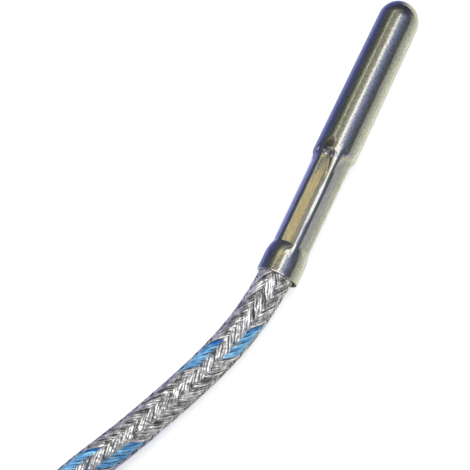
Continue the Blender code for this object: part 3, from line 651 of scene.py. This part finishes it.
def hexagon_radius(angle, apothem, corner, crown):
    """Distance from the axis to a crowned hexagon, at an angle from straight up.

    Each side is an arc of the crown radius, whose centre lies beyond the axis, and each
    corner is a small arc that touches both of its sides.
    """
    half = math.pi / CRIMP_SIDES
    from_flat = (angle - CRIMP_TURN + half) % (2 * half) - half
    from_corner = half - np.abs(from_flat)
    back = crown - apothem
    corner_at = math.sqrt((crown - corner) ** 2 - (back * math.sin(half)) ** 2) - back * math.cos(half)
    lean = math.atan2(corner_at * math.sin(half), back + corner_at * math.cos(half))
    flat_end = math.atan2(crown * math.sin(lean), crown * math.cos(lean) - back)
    on_flat = np.sqrt(crown ** 2 - (back * np.sin(from_flat)) ** 2) - back * np.cos(from_flat)
    reach = np.sqrt(np.maximum(corner ** 2 - (corner_at * np.sin(from_corner)) ** 2, 0.0))
    on_corner = corner_at * np.cos(from_corner) + reach
    return np.where(np.abs(from_flat) <= flat_end, on_flat, on_corner)


def s_step(share):
    """A smooth step from 0 to 1 as the share goes from 0 to 1."""
    share = np.clip(share, 0.0, 1.0)
    return (1 - np.cos(math.pi * share)) / 2


def crimp_share(along, angle):
    """How far the tube is pressed six-sided, from 0 to 1, at a distance from its mouth.

    It rises from the collar with a power that is steeper on the flats, and falls in a smooth
    step at the top, which runs out further at the corners. One corner fades over a long way.
    """
    flatness = s_step(FLAT_STEEPNESS * (1 + np.cos(CRIMP_SIDES * (angle - CRIMP_TURN))))
    climb = np.clip((along - COLLAR_END) / (CRIMP_START - COLLAR_END), 0.0, 1.0)
    foot = climb ** (FOOT_POWER + FOOT_POWER_ON_FLATS * flatness)
    from_corner = (angle - LONG_CORNER_TURN + math.pi) % (2 * math.pi) - math.pi
    fade = LONG_CORNER * np.exp(-(from_corner / LONG_CORNER_SPREAD) ** 2)
    slant = CRIMP_SLANT * np.cos(angle - HIGHEST_ON_TURN)
    top = CRIMP_TOP + slant + CORNER_RUN_OUT * (1 - flatness)
    end = CRIMP_END + slant - CORNER_END_SHARE * CORNER_RUN_OUT * (1 - flatness) - fade
    return foot * s_step((top - along) / (top - end))


def tube_surface(along, angle, inset):
    """Radius of the tube: round, pressed six-sided along the crimp, a little swollen above it."""
    share = crimp_share(along, angle)
    above = (along - CRIMP_TOP) / (TUBE_LENGTH - TUBE_RADIUS - CRIMP_TOP)
    tapering = 1 - (1 + TIP_NARROWING) * np.clip(above, 0, 1)
    swell = SWELL_ABOVE_CRIMP * tapering * s_step((along - CRIMP_END) / SWELL_RISE)
    body = TUBE_RADIUS - inset + swell + 0 * angle
    die = hexagon_radius(angle, CRIMP_APOTHEM - inset, CRIMP_CORNER - inset, FLAT_CROWN_RADIUS - inset)
    return (1 - share) * body + share * die


def tool_marks(along, angle):
    """Shares from 0 to 1 of the marks above the flat that faces up: hollow, notch and its shade.

    The hollow is a round pit, exp(-distance cubed), and the notch a triangle that points to
    the mouth. The shade is painted shade over the notch: it starts above it and is darker on one side.
    """
    across = TUBE_RADIUS * ((angle - CRIMP_TURN + math.pi) % (2 * math.pi) - math.pi)
    lengthwise = (along - HOLLOW_AT) / HOLLOW_HALF_LENGTH
    sideways = (across - HOLLOW_ASIDE) / HOLLOW_HALF_WIDTH
    hollow = np.exp(-(lengthwise ** 2 + sideways ** 2) ** 1.5)
    down = (NOTCH_AT - along) / NOTCH_LENGTH
    spread = NOTCH_HALF_WIDTH * (1 - down) - np.abs(across - NOTCH_ASIDE)
    inside = s_step(spread / NOTCH_EDGE) * (down < 1)
    notch = s_step(down / NOTCH_START) * inside
    darkness = SHADE_LIGHTEST + SHADE_RANGE * s_step((SHADE_TURN_FROM - across) / SHADE_TURN)
    shade = s_step((SHADE_AT - along) / SHADE_FADE) * inside * darkness
    return hollow, notch, shade


def make_tube(finish):
    """The steel tube, outside and in, as one grid from tip to mouth and back to the inner tip."""
    dome_at = TUBE_LENGTH - TUBE_RADIUS
    bore_radius = TUBE_RADIUS - TUBE_WALL
    body = np.concatenate([np.linspace(*rows) for rows in BODY_ROWS])
    angle = np.linspace(0, 2 * math.pi, TUBE_COLUMNS, endpoint=False)[None, :]
    rows = []
    tip_radius = TUBE_RADIUS - TIP_NARROWING * SWELL_ABOVE_CRIMP
    for lift in DOME_LIFTS:
        rows.append((dome_at + TUBE_RADIUS * math.sin(lift), tip_radius * math.cos(lift) + 0 * angle))
    hollow, notch, shade = tool_marks(body[:, None], angle)
    outside = tube_surface(body[:, None], angle, 0.0) - HOLLOW_DEPTH * hollow - NOTCH_DEPTH * notch
    rows += [(x, radii[None, :]) for x, radii in zip(body, outside)]
    for turn in RIM_TURNS:
        radius = TUBE_RADIUS - RIM_ROUND * (1 - math.cos(turn))
        rows.append((RIM_ROUND * (1 - math.sin(turn)), radius + 0 * angle))
    for turn in RIM_TURNS:
        radius = bore_radius + RIM_ROUND * (1 - math.sin(turn))
        rows.append((RIM_ROUND * (1 - math.cos(turn)), radius + 0 * angle))
    inner = body[::-1][::3]
    bore = tube_surface(inner[:, None], angle, TUBE_WALL)
    rows += [(x, radii[None, :]) for x, radii in zip(inner, bore)]
    for lift in DOME_LIFTS[::-1][::2]:
        rows.append((dome_at + bore_radius * math.sin(lift), bore_radius * math.cos(lift) + 0 * angle))
    x = MOUTH_X + np.array([row[0] for row in rows])[:, None] + 0 * angle
    radius = np.concatenate([row[1] for row in rows])
    grid = np.stack([x, radius * np.sin(angle), TUBE_RADIUS + radius * np.cos(angle)], axis=-1)
    tip = MOUTH_X + TUBE_LENGTH
    tips = [(tip, 0, TUBE_RADIUS), (tip - TUBE_WALL, 0, TUBE_RADIUS)]
    points = np.concatenate([grid.reshape(-1, 3), tips])
    count = len(rows) * TUBE_COLUMNS
    first = np.arange(TUBE_COLUMNS)
    last = count - TUBE_COLUMNS + first
    after = (first + 1) % TUBE_COLUMNS
    outer_fan = np.stack([np.full(TUBE_COLUMNS, count), after, first], axis=1)
    inner_fan = np.stack([last, last[after], np.full(TUBE_COLUMNS, count + 1)], axis=1)
    sides = grid_faces(len(rows), TUBE_COLUMNS)
    first_body = len(DOME_LIFTS) * TUBE_COLUMNS
    on_body = slice(first_body, first_body + hollow.size)
    # The hollow and the notch's shade: painted shade in the steel's colour, and a duller roughness
    dull_and_painted_shade = np.zeros(len(points))
    dull_and_painted_shade[on_body] = np.clip(0.9 * hollow + shade, 0, 1).ravel()
    pressed = np.zeros(len(points))
    pressed[on_body] = crimp_share(body[:, None], angle).ravel()
    tube = make_piece("steel_tube", points, [sides, outer_fan, inner_fan], [finish],
                      marks={"dull_and_painted_shade": dull_and_painted_shade, "pressed": pressed})
    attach(tube, "root")
    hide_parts("sheath_tube")
    return tube


def unevenness(along, count, seed):
    """A value for each strand that wanders about 0 along its length, as a sum of three waves."""
    chance = np.random.default_rng(seed)
    value = np.zeros((count, len(along)))
    for wavelength, share in UNEVEN_WAVES:
        start = chance.uniform(0, 2 * math.pi, (count, 1))
        pitch = wavelength * chance.uniform(0.8, 1.25, (count, 1))
        value += share * np.sin(2 * math.pi * along[None] / pitch + start)
    return value


def carrier_sections(path, along, family, middles, offsets, half_width, corners, roll):
    """Sections of strands in one family of carriers.

    A strand winds round the lead at a constant lay. Its height goes over two crossings and
    under two, which depends only on the angle round the lead, so the floats stand in ribs.
    The strands of a carrier draw together where it goes under.
    """
    turn_rate = -family * 2 * math.pi / BRAID_LAY
    start = BRAID_PHASE + turn_rate * (along - BRAID_PHASE_AT)
    middle = start[None, :] + middles[:, None]
    over = s_step(0.5 + RIB_STEEPNESS * family * np.cos(RIBS_ROUND * (middle - RIB_TURN)))
    angle = middle + offsets * (BUNCHED_UNDER + (1 - BUNCHED_UNDER) * over)
    wave = family * np.cos(RIBS_ROUND * (angle - RIB_TURN))
    over = s_step(0.5 + RIB_STEEPNESS * wave)
    top = LEAD_RADIUS - STRAND_THICKNESS / 2 - FLOAT_ARCH
    radius = top - FLOAT_RISE * (1 - over) + FLOAT_ARCH * wave
    centre, left, up = path.at(along)
    centre, left, up = centre[None], left[None], up[None]
    out = np.cos(angle)[..., None] * up + np.sin(angle)[..., None] * left
    line = centre + radius[..., None] * out
    forward = np.gradient(line, axis=1)
    forward /= np.linalg.norm(forward, axis=2, keepdims=True)
    side = np.cross(out, forward)
    side /= np.linalg.norm(side, axis=2, keepdims=True)
    level = np.cos(roll)[..., None] * side + np.sin(roll)[..., None] * out
    upright = np.cos(roll)[..., None] * out - np.sin(roll)[..., None] * side
    half_width = half_width * (BUNCHED_UNDER + (1 - BUNCHED_UNDER) * over)[..., None]
    sections = [line + a * half_width * level + b * STRAND_THICKNESS / 2 * upright for a, b in corners]
    return np.stack(sections, axis=2)


def braid_pieces(path, strand_finishes, band_finishes):
    """The wire braid: single strands near the tube, and a band for each carrier further on."""
    spacing = 2 * math.pi / CARRIERS
    pieces = []
    flat_strand = [(math.cos(turn), math.sin(turn)) for turn in np.radians([0, 60, 120, 180, 240, 300])]
    band = [(1, -0.6), (0.6, 0.55), (0, 1.0), (-0.6, 0.55), (-1, -0.6)]
    middle_radius = LEAD_RADIUS - FLOAT_RISE / 2
    lean = math.cos(math.atan(2 * math.pi * middle_radius / BRAID_LAY))
    carrier = np.arange(CARRIERS)
    places = (np.arange(STRANDS_PER_CARRIER) - (STRANDS_PER_CARRIER - 1) / 2) / STRANDS_PER_CARRIER
    for family, side_name in ((1, "right_hand"), (-1, "left_hand")):
        middles = carrier * spacing + (spacing / 2 if family > 0 else 0.0)
        blue = np.isin(carrier, BLUE_CARRIERS) & (family > 0)
        along = np.arange(-MOUTH_DEPTH, FINE_BRAID_LENGTH, FINE_STEP)
        offsets = np.tile(places * STRANDS_SPREAD * spacing, CARRIERS)[:, None]
        roll = STRAND_ROLL * unevenness(along, len(offsets), ROLL_SEED + family)
        offsets = offsets + STRAND_WANDER * unevenness(along / 2, len(offsets), WANDER_SEED + family)
        strand_middles = np.repeat(middles, STRANDS_PER_CARRIER)
        half_width = STRAND_WIDTH / 2
        strands = carrier_sections(path, along, family, strand_middles, offsets, half_width,
                                   flat_strand, roll)
        tone = np.random.default_rng(TONE_SEED + family).uniform(0, 1, (len(offsets), 1, 1))
        finish = np.repeat(blue.astype(int), STRANDS_PER_CARRIER)
        name = f"braid_strands_{side_name}"
        marks = {"tone": tone, "along": along[None, :, None] / MM}
        pieces.append(strand_mesh(name, strands, strand_finishes, finish, marks))
        along = np.arange(along[-1], path.length, COARSE_STEP)
        half_width = BAND_SPREAD * spacing * middle_radius * lean
        flat = np.zeros((CARRIERS, len(along)))
        bands = carrier_sections(path, along, family, middles, flat, half_width, band, flat)
        marks = {
            "across": np.array([place for place, _ in band]),
            "along": along[None, :, None] / MM + 100.0 * carrier[:, None, None],
        }
        name = f"braid_bands_{side_name}"
        pieces.append(strand_mesh(name, bands, band_finishes, blue.astype(int), marks))
    return pieces


def in_plug(local):
    """Points of the plug's own frame, turned by its heading and moved to its place."""
    turned = np.array(Matrix.Rotation(PLUG_HEADING, 3, "Z"))
    return local @ turned.T + np.array(PLUG_MIDDLE)


def raised_bar(start, end, out, half_width, rise):
    """Sections of one raised bar on a flat face, from start to end in the plug's frame.

    Its section is a low arch that starts below the face: sideways cos(t) times the half
    width and outward sin(t) times the rise. It shrinks to its ends along a quarter circle.
    """
    start, end, out = (np.array(value, float) for value in (start, end, out))
    length = np.linalg.norm(end - start)
    forward = (end - start) / length
    side = np.cross(out, forward)
    share = s_step(np.linspace(0.0, 1.0, BAR_STEPS))
    from_end = np.minimum(share, 1 - share) * length / half_width
    scale = np.sqrt(np.clip(1 - (1 - np.clip(from_end, 0.0, 1.0)) ** 2, 0.02, 1.0))[:, None, None]
    arch = np.radians(np.linspace(0.0, 180.0, BAR_ARCH))
    across = np.concatenate([[1.0], np.cos(arch), [-1.0]])[None, :, None]
    lift = np.concatenate([[0.0], np.sin(arch), [0.0]])[None, :, None]
    sunk = np.concatenate([[1.0], np.zeros(BAR_ARCH), [1.0]])[None, :, None]
    line = start + share[:, None, None] * (end - start)
    bar = line + scale * half_width * across * side + (scale * rise * lift - sunk * RIB_SINK) * out
    return bar


def make_plug_relief(rib_finish, sign_finish):
    """The plug's raised detail: grip ribs on top and sides, and a plus and a minus by the blades."""
    ribs = []
    signs = []
    top = PLUG_HALF_THICKNESS
    upward = (0, 0, 1)
    for x in np.linspace(GRIP_START, GRIP_END, GRIP_RIBS):
        ends = ((x, -RIB_HALF_LENGTH, top), (x, RIB_HALF_LENGTH, top))
        ribs.append(raised_bar(*ends, upward, RIB_HALF_WIDTH, RIB_RISE))
        for side in (1, -1):
            wall = side * PLUG_HALF_WIDTH
            for half in (1, -1):
                ends = ((x, wall, half * SIDE_RIB_FROM), (x, wall, half * SIDE_RIB_TO))
                ribs.append(raised_bar(*ends, (0, side, 0), RIB_HALF_WIDTH, RIB_RISE))
    for side in (1, -1):
        y = side * BLADE_SPACING / 2
        ends = ((SIGN_AT, y - SIGN_REACH, top), (SIGN_AT, y + SIGN_REACH, top))
        signs.append(raised_bar(*ends, upward, SIGN_HALF_WIDTH, SIGN_RISE))
    y = BLADE_SPACING / 2
    ends = ((SIGN_AT - SIGN_REACH, y, top), (SIGN_AT + SIGN_REACH, y, top))
    signs.append(raised_bar(*ends, upward, SIGN_HALF_WIDTH, SIGN_RISE))
    details = (("plug_grip_ribs", ribs, rib_finish), ("plug_polarity_signs", signs, sign_finish))
    pieces = []
    for name, bars, finish in details:
        piece = strand_mesh(name, in_plug(np.stack(bars)), [finish], np.zeros(len(bars), int))
        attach(piece, "root")
        pieces.append(piece)
    return pieces


def make_boot(finish):
    """The plug's boot as a turned shape: flexing ribs outside, its neck and flange, and the bore."""
    step = np.linspace(0.0, 1.0, BOOT_ROWS)
    groove = s_step(0.5 + 0.9 * np.cos(2 * math.pi * BOOT_RIBS * step + math.pi))
    taper = BOOT_END_RADIUS + (BOOT_ROOT_RADIUS - BOOT_END_RADIUS) * step
    outside = PLUG_BACK - PLUG_GAP
    end = PLUG_BACK - BOOT_LENGTH
    inside = PLUG_BACK + REAR_WALL + PLUG_GAP
    flange = inside + BOOT_FLANGE_LENGTH
    bore = LEAD_RADIUS + PLUG_GAP
    profile = list(zip(end + (outside - end) * step, taper - BOOT_GROOVE * (1 - groove)))
    profile += [(outside, BOOT_NECK_RADIUS), (inside, BOOT_NECK_RADIUS), (inside, BOOT_FLANGE_RADIUS),
                (flange, BOOT_FLANGE_RADIUS), (flange, bore), (end, bore)]
    profile = np.array(profile[::-1])
    angle = np.linspace(0, 2 * math.pi, BOOT_COLUMNS, endpoint=False)[None, :]
    x = profile[:, :1] + 0 * angle
    local = np.stack([x, profile[:, 1:] * np.sin(angle), profile[:, 1:] * np.cos(angle)], axis=-1)
    faces = grid_faces(len(profile), BOOT_COLUMNS, closed_rows=True)
    boot = make_piece("ribbed_boot", in_plug(local), [faces], [finish])
    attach(boot, "root")
    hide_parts("plug_boot")
    return boot


def make_core(path, finish):
    """The glass-fibre core that shows between the wires, as a plain round bar along the lead, its grey
    darkened as painted shade in the gaps.
    """
    along = np.arange(0.0, path.length, CORE_STEP)
    along[-1] = path.length
    radius = LEAD_RADIUS - FLOAT_RISE - 2 * FLOAT_ARCH - STRAND_THICKNESS
    angle = np.linspace(0, 2 * math.pi, CORE_COLUMNS, endpoint=False)[None, :, None]
    centre, left, up = path.at(along)
    ring = np.cos(angle) * up[:, None] - np.sin(angle) * left[:, None]
    sections = centre[:, None] + radius * ring
    return strand_mesh("lead_core", sections[None], [finish], np.array([0]))


def make_lead():
    """The whole lead: core and braid along one path through the coil to the plug, in place of the
    model's lead pieces.
    """
    knots = np.concatenate([RUN_ROUTE, coil_points(), COIL_TO_TAIL, TAIL_ROUTE])
    path = Path(knots, 0.5 * MM)
    steel = ((0.20, 0.20, 0.205), (0.99, 0.98, 0.99), 0.68, 0.18)
    blue = ((0.01, 0.14, 0.45), (0.34, 0.73, 1.0), 0.20, 0.27)
    strands = [
        braid_strand("braid_steel_strand", *steel, 1.1),
        braid_strand("braid_blue_strand", *blue, 0.2),
    ]
    bands = [braid_band("braid_steel_band", *steel), braid_band("braid_blue_band", *blue)]
    # A darker grey than the woven glass fibre: painted shade in the gaps between the wires
    fibre = plain_finish("glass_fibre_core_and_painted_shade", (0.34, 0.34, 0.35), (0.50, 0.50, 0.51), 0.8)
    core = make_core(path, fibre)
    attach(core, "root")
    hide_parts("lead_run", "lead_coil", "lead_tail")
    pieces = braid_pieces(path, strands, bands)
    for piece in pieces:
        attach(piece, "root")
        near_tube = "strands" in piece.name
        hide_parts(*(["lead_run"] if near_tube else ["lead_coil", "lead_tail", "lead_run"]))
    return path, core, pieces


def dress_cad_nodes():
    """Give every CAD node that stays its own node-based finish."""
    glass = plain_finish("woven_glass_fibre", (0.62, 0.60, 0.52), (0.80, 0.78, 0.70), 0.8)
    nickel = small_metal("nickel_alloy_wire", (0.60, 0.58, 0.54), (0.72, 0.70, 0.66), 0.36, 0.7)
    copper = small_metal("copper_alloy_wire", (0.66, 0.44, 0.30), (0.80, 0.56, 0.41), 0.36, 0.7)
    brass = small_metal("turned_brass", (0.70, 0.53, 0.24), (0.82, 0.65, 0.34), 0.30, 0.8)
    steel = small_metal("bright_screw_steel", (0.58, 0.58, 0.57), (0.70, 0.69, 0.67), 0.30, 0.8)
    cement = plain_finish("cast_cement", (0.66, 0.64, 0.58), (0.80, 0.78, 0.72), 0.9)
    white = plain_finish("white_sleeve", (0.66, 0.66, 0.60), (0.82, 0.82, 0.76), 0.8)
    blue = plain_finish("blue_sleeve", (0.10, 0.24, 0.45), (0.17, 0.34, 0.58), 0.8)
    moulding = moulded_plastic()
    strap = strap_weave()
    dressing = {
        "braid_in_sheath": steel, "core_in_sheath": glass, "core_in_plug": glass, "tip_cement": cement,
        "positive_sleeve_tip": white, "negative_sleeve_tip": blue,
        "positive_sleeve_tail": white, "negative_sleeve_tail": blue,
        "positive_wire_tip": nickel, "negative_wire_tip": copper, "junction_bead": nickel,
        "positive_wire_tail": nickel, "negative_wire_tail": copper,
        "positive_blade": nickel, "negative_blade": copper,
        "positive_terminal_screw": brass, "negative_terminal_screw": brass,
        "cover_screw": steel, "cover_nut": steel,
        "plug_base": moulding, "plug_cover": moulding, "coil_tie": strap,
    }
    for name, finish in dressing.items():
        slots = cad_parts[name].data.materials
        slots.clear()
        slots.append(finish)
    return moulding


def make_floor():
    """A plain pale floor: white to the camera apart from the soft shadow; coloured in reflections, with
    a painted shadow by the object.
    """
    half = FLOOR_HALF
    points = [(-half, -half, 0), (half, -half, 0), (half, half, 0), (-half, half, 0)]
    floor = make_piece("studio_floor", points, [np.array([[0, 1, 2, 3]])], [])
    floor.location.z = -FLOOR_DROP
    made, tree, shader, place = new_material("pale_floor")
    set_inputs(shader, {"Base Color": (0.8, 0.8, 0.8, 1), "Roughness": 0.9, "Specular IOR Level": 0.0})
    light_path = node(tree, "ShaderNodeLightPath")
    lift = node(tree, "ShaderNodeEmission", Color=(1, 1, 1, 1), Strength=FLOOR_LIFT)
    lifted = node(tree, "ShaderNodeAddShader")
    tree.links.new(shader.outputs[0], lifted.inputs[0])
    tree.links.new(lift.outputs[0], lifted.inputs[1])
    x, y, _ = axes_of(tree, place)
    past_dome = minus(tree, x, TUBE_HIGH.x - TUBE_RADIUS)
    distance = distance_of(tree, calculated(tree, "MAXIMUM", past_dome, 0.0), y)
    share = calculated(tree, "DIVIDE", distance, FLOOR_REACH)
    side = calculated(tree, "DIVIDE", y, plus(tree, distance, 0.0001))
    # Within about 3 mm of the tube's line both sides are darker: a painted shadow under the object,
    # seen in reflections
    room_side = ramp(tree, share, [
        (0.13, (0.16, 0.16, 0.14)), (0.22, (1.10, 1.11, 0.96)), (0.40, (0.88, 0.89, 0.71)),
        (1.0, (0.70, 0.71, 0.53)),
    ])
    window_side = ramp(tree, share, [
        (0.10, (0.50, 0.50, 0.60)), (0.132, (1.05, 1.06, 1.30)), (0.158, (0.62, 0.65, 1.02)),
        (0.19, (0.24, 0.27, 0.60)), (0.25, (0.33, 0.36, 0.68)), (0.34, (0.24, 0.27, 0.58)),
        (0.48, (0.13, 0.15, 0.38)), (1.0, (0.08, 0.10, 0.24)),
    ])
    colours = blended(tree, smooth_share(tree, side, *SIDE_BLEND), room_side, window_side)
    seen = node(tree, "ShaderNodeEmission")
    tree.links.new(colours, seen.inputs["Color"])
    reflected = mixed(tree, light_path.outputs["Is Glossy Ray"], shader.outputs[0], seen.outputs[0])
    shown = mixed(tree, light_path.outputs["Is Camera Ray"], reflected, lifted.outputs[0])
    tree.links.new(shown, tree.nodes["Material Output"].inputs["Surface"])
    floor.data.materials.append(made)


def sky_ramps(tree, angle):
    """Studio panels by angle from overhead: the side towards +Y, the side towards -Y, and behind."""
    def stop(degrees, colour):
        return (degrees / 180.0, colour)

    window_side = ramp(tree, angle, [
        stop(0, (0.85, 0.90, 0.96)), stop(4, (1.35, 1.38, 1.36)), stop(8, (1.95, 1.97, 1.90)),
        stop(12, (1.25, 1.25, 1.12)), stop(16, (0.56, 0.56, 0.46)), stop(26, (0.40, 0.40, 0.32)),
        stop(44, (0.33, 0.33, 0.25)), stop(46, (1.00, 1.00, 0.82)), stop(48, (1.00, 1.00, 0.82)),
        stop(50, (0.34, 0.34, 0.26)), stop(57, (0.28, 0.29, 0.22)), stop(64, (0.11, 0.12, 0.09)),
        stop(84, (0.10, 0.11, 0.15)), stop(98, (0.085, 0.095, 0.21)), stop(112, (0.11, 0.13, 0.32)),
    ])
    room_side = ramp(tree, angle, [
        stop(0, (0.85, 0.90, 0.96)), stop(5, (0.66, 0.70, 0.84)), stop(11, (0.50, 0.54, 0.70)),
        stop(22, (0.27, 0.31, 0.49)), stop(33, (0.155, 0.185, 0.31)), stop(45, (0.125, 0.15, 0.19)),
        stop(57, (0.11, 0.125, 0.105)), stop(62, (0.12, 0.13, 0.10)), stop(68, (0.38, 0.38, 0.35)),
        stop(76, (0.47, 0.48, 0.48)), stop(90, (0.55, 0.56, 0.55)), stop(99, (0.84, 0.85, 0.70)),
        stop(115, (1.04, 1.05, 0.87)),
    ])
    behind = ramp(tree, angle, [
        stop(0, (0.10, 0.09, 0.08)), stop(42, (0.08, 0.08, 0.12)), stop(62, (0.34, 0.32, 0.43)),
        stop(90, (0.70, 0.66, 0.82)),
    ])
    return window_side, room_side, behind


def make_world():
    """White to the camera, plain light on matt surfaces, and long studio panels in reflections.

    The panels run along the tube, so their place depends on the angle from overhead across
    it. Beyond the tip they close round in arcs, and behind the mouth the room is dark.
    """
    world = bpy.data.worlds.new("studio")
    bpy.context.scene.world = world
    world.use_nodes = True
    tree = world.node_tree
    tree.nodes.clear()
    x, y, z = axes_of(tree, node(tree, "ShaderNodeTexCoord").outputs["Generated"])
    past_tip = calculated(tree, "MAXIMUM", minus(tree, x, ARCS_START), 0.0)
    sideways = distance_of(tree, times(tree, past_tip, ARCS_RATE), y)
    angle = calculated(tree, "DIVIDE", calculated(tree, "ARCTAN2", sideways, z), math.pi)
    window_side, room_side, behind = sky_ramps(tree, angle)
    side = calculated(tree, "DIVIDE", y, plus(tree, sideways, 0.001))
    panels = blended(tree, smooth_share(tree, side, *SIDE_BLEND), room_side, window_side)
    panels = blended(tree, smooth_share(tree, x, *TIP_FADE), panels, (0.055, 0.06, 0.10, 1.0))
    reflected = blended(tree, smooth_share(tree, x, *MOUTH_FADE), behind, panels)
    light_path = node(tree, "ShaderNodeLightPath")
    light = blended(tree, light_path.outputs["Is Glossy Ray"], (0.85, 0.85, 0.85, 1.0), reflected)
    shown = blended(tree, light_path.outputs["Is Camera Ray"], light, (1.0, 1.0, 1.0, 1.0))
    background = node(tree, "ShaderNodeBackground")
    tree.links.new(shown, background.inputs["Color"])
    output = node(tree, "ShaderNodeOutputWorld")
    tree.links.new(background.outputs[0], output.inputs["Surface"])


def make_card(name, low, high, colour):
    """A level lit card that only reflections show, between two (x, y) corners in millimetres."""
    made, tree, _, _ = new_material(name)
    lit = node(tree, "ShaderNodeEmission", Color=(*colour, 1.0))
    tree.links.new(lit.outputs[0], tree.nodes["Material Output"].inputs["Surface"])
    corners = (low, (low[0], high[1]), high, (high[0], low[1]))
    points = np.array([(*corner, CARD_HEIGHT) for corner in corners]) * MM
    card = make_piece(name, points, [np.array([[0, 1, 2, 3]])], [made])
    card.visible_camera = False
    card.visible_diffuse = False
    card.visible_shadow = False
    card.visible_transmission = False


def make_lamp():
    """One wide soft lamp above, for a faint contact shadow."""
    lamp = bpy.data.lights.new("soft_lamp", "AREA")
    lamp.shape = "DISK"
    lamp.size = LAMP_SIZE
    lamp.energy = LAMP_ENERGY
    item = bpy.data.objects.new("soft_lamp", lamp)
    item.location = LAMP_PLACE
    item.rotation_euler = (LAMP_PLACE - LAMP_AIM).to_track_quat("Z", "Y").to_euler()
    item.visible_glossy = False
    bpy.context.scene.collection.objects.link(item)


def make_camera():
    """A long lens looking down on the probe, leaning towards the lead and rolled as in the photo."""
    camera = bpy.data.cameras.new("camera")
    camera.lens = CAMERA_LENS
    camera.sensor_width = SENSOR_WIDTH
    camera.clip_start = 0.01
    item = bpy.data.objects.new("camera", camera)
    back = Vector((-math.sin(CAMERA_LEAN), 0.0, math.cos(CAMERA_LEAN)))
    upright = Vector((math.cos(CAMERA_LEAN), 0.0, math.sin(CAMERA_LEAN)))
    level = (-back).cross(upright)
    right = math.cos(CAMERA_ROLL) * level + math.sin(CAMERA_ROLL) * upright
    up = -math.sin(CAMERA_ROLL) * level + math.cos(CAMERA_ROLL) * upright
    turned = Matrix((right, up, back)).transposed().to_4x4()
    item.matrix_world = Matrix.Translation(CAMERA_TARGET + CAMERA_DISTANCE * back) @ turned
    bpy.context.scene.collection.objects.link(item)
    bpy.context.scene.camera = item


def build():
    """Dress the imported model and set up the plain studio."""
    make_tube(tube_steel())
    path, core, braid = make_lead()
    moulding = dress_cad_nodes()
    rubber = plain_finish("boot_rubber", (0.03, 0.035, 0.045), (0.05, 0.055, 0.065), 0.62)
    boot = make_boot(rubber)
    paint = plain_finish("pale_sign_paint", (0.66, 0.70, 0.74), (0.78, 0.82, 0.86), 0.5)
    relief = make_plug_relief(moulding, paint)
    make_floor()
    make_world()
    for name, card in CARDS.items():
        make_card(name, *card)
    make_lamp()
    make_camera()
    bpy.context.scene.view_settings.view_transform = "Standard"


build()
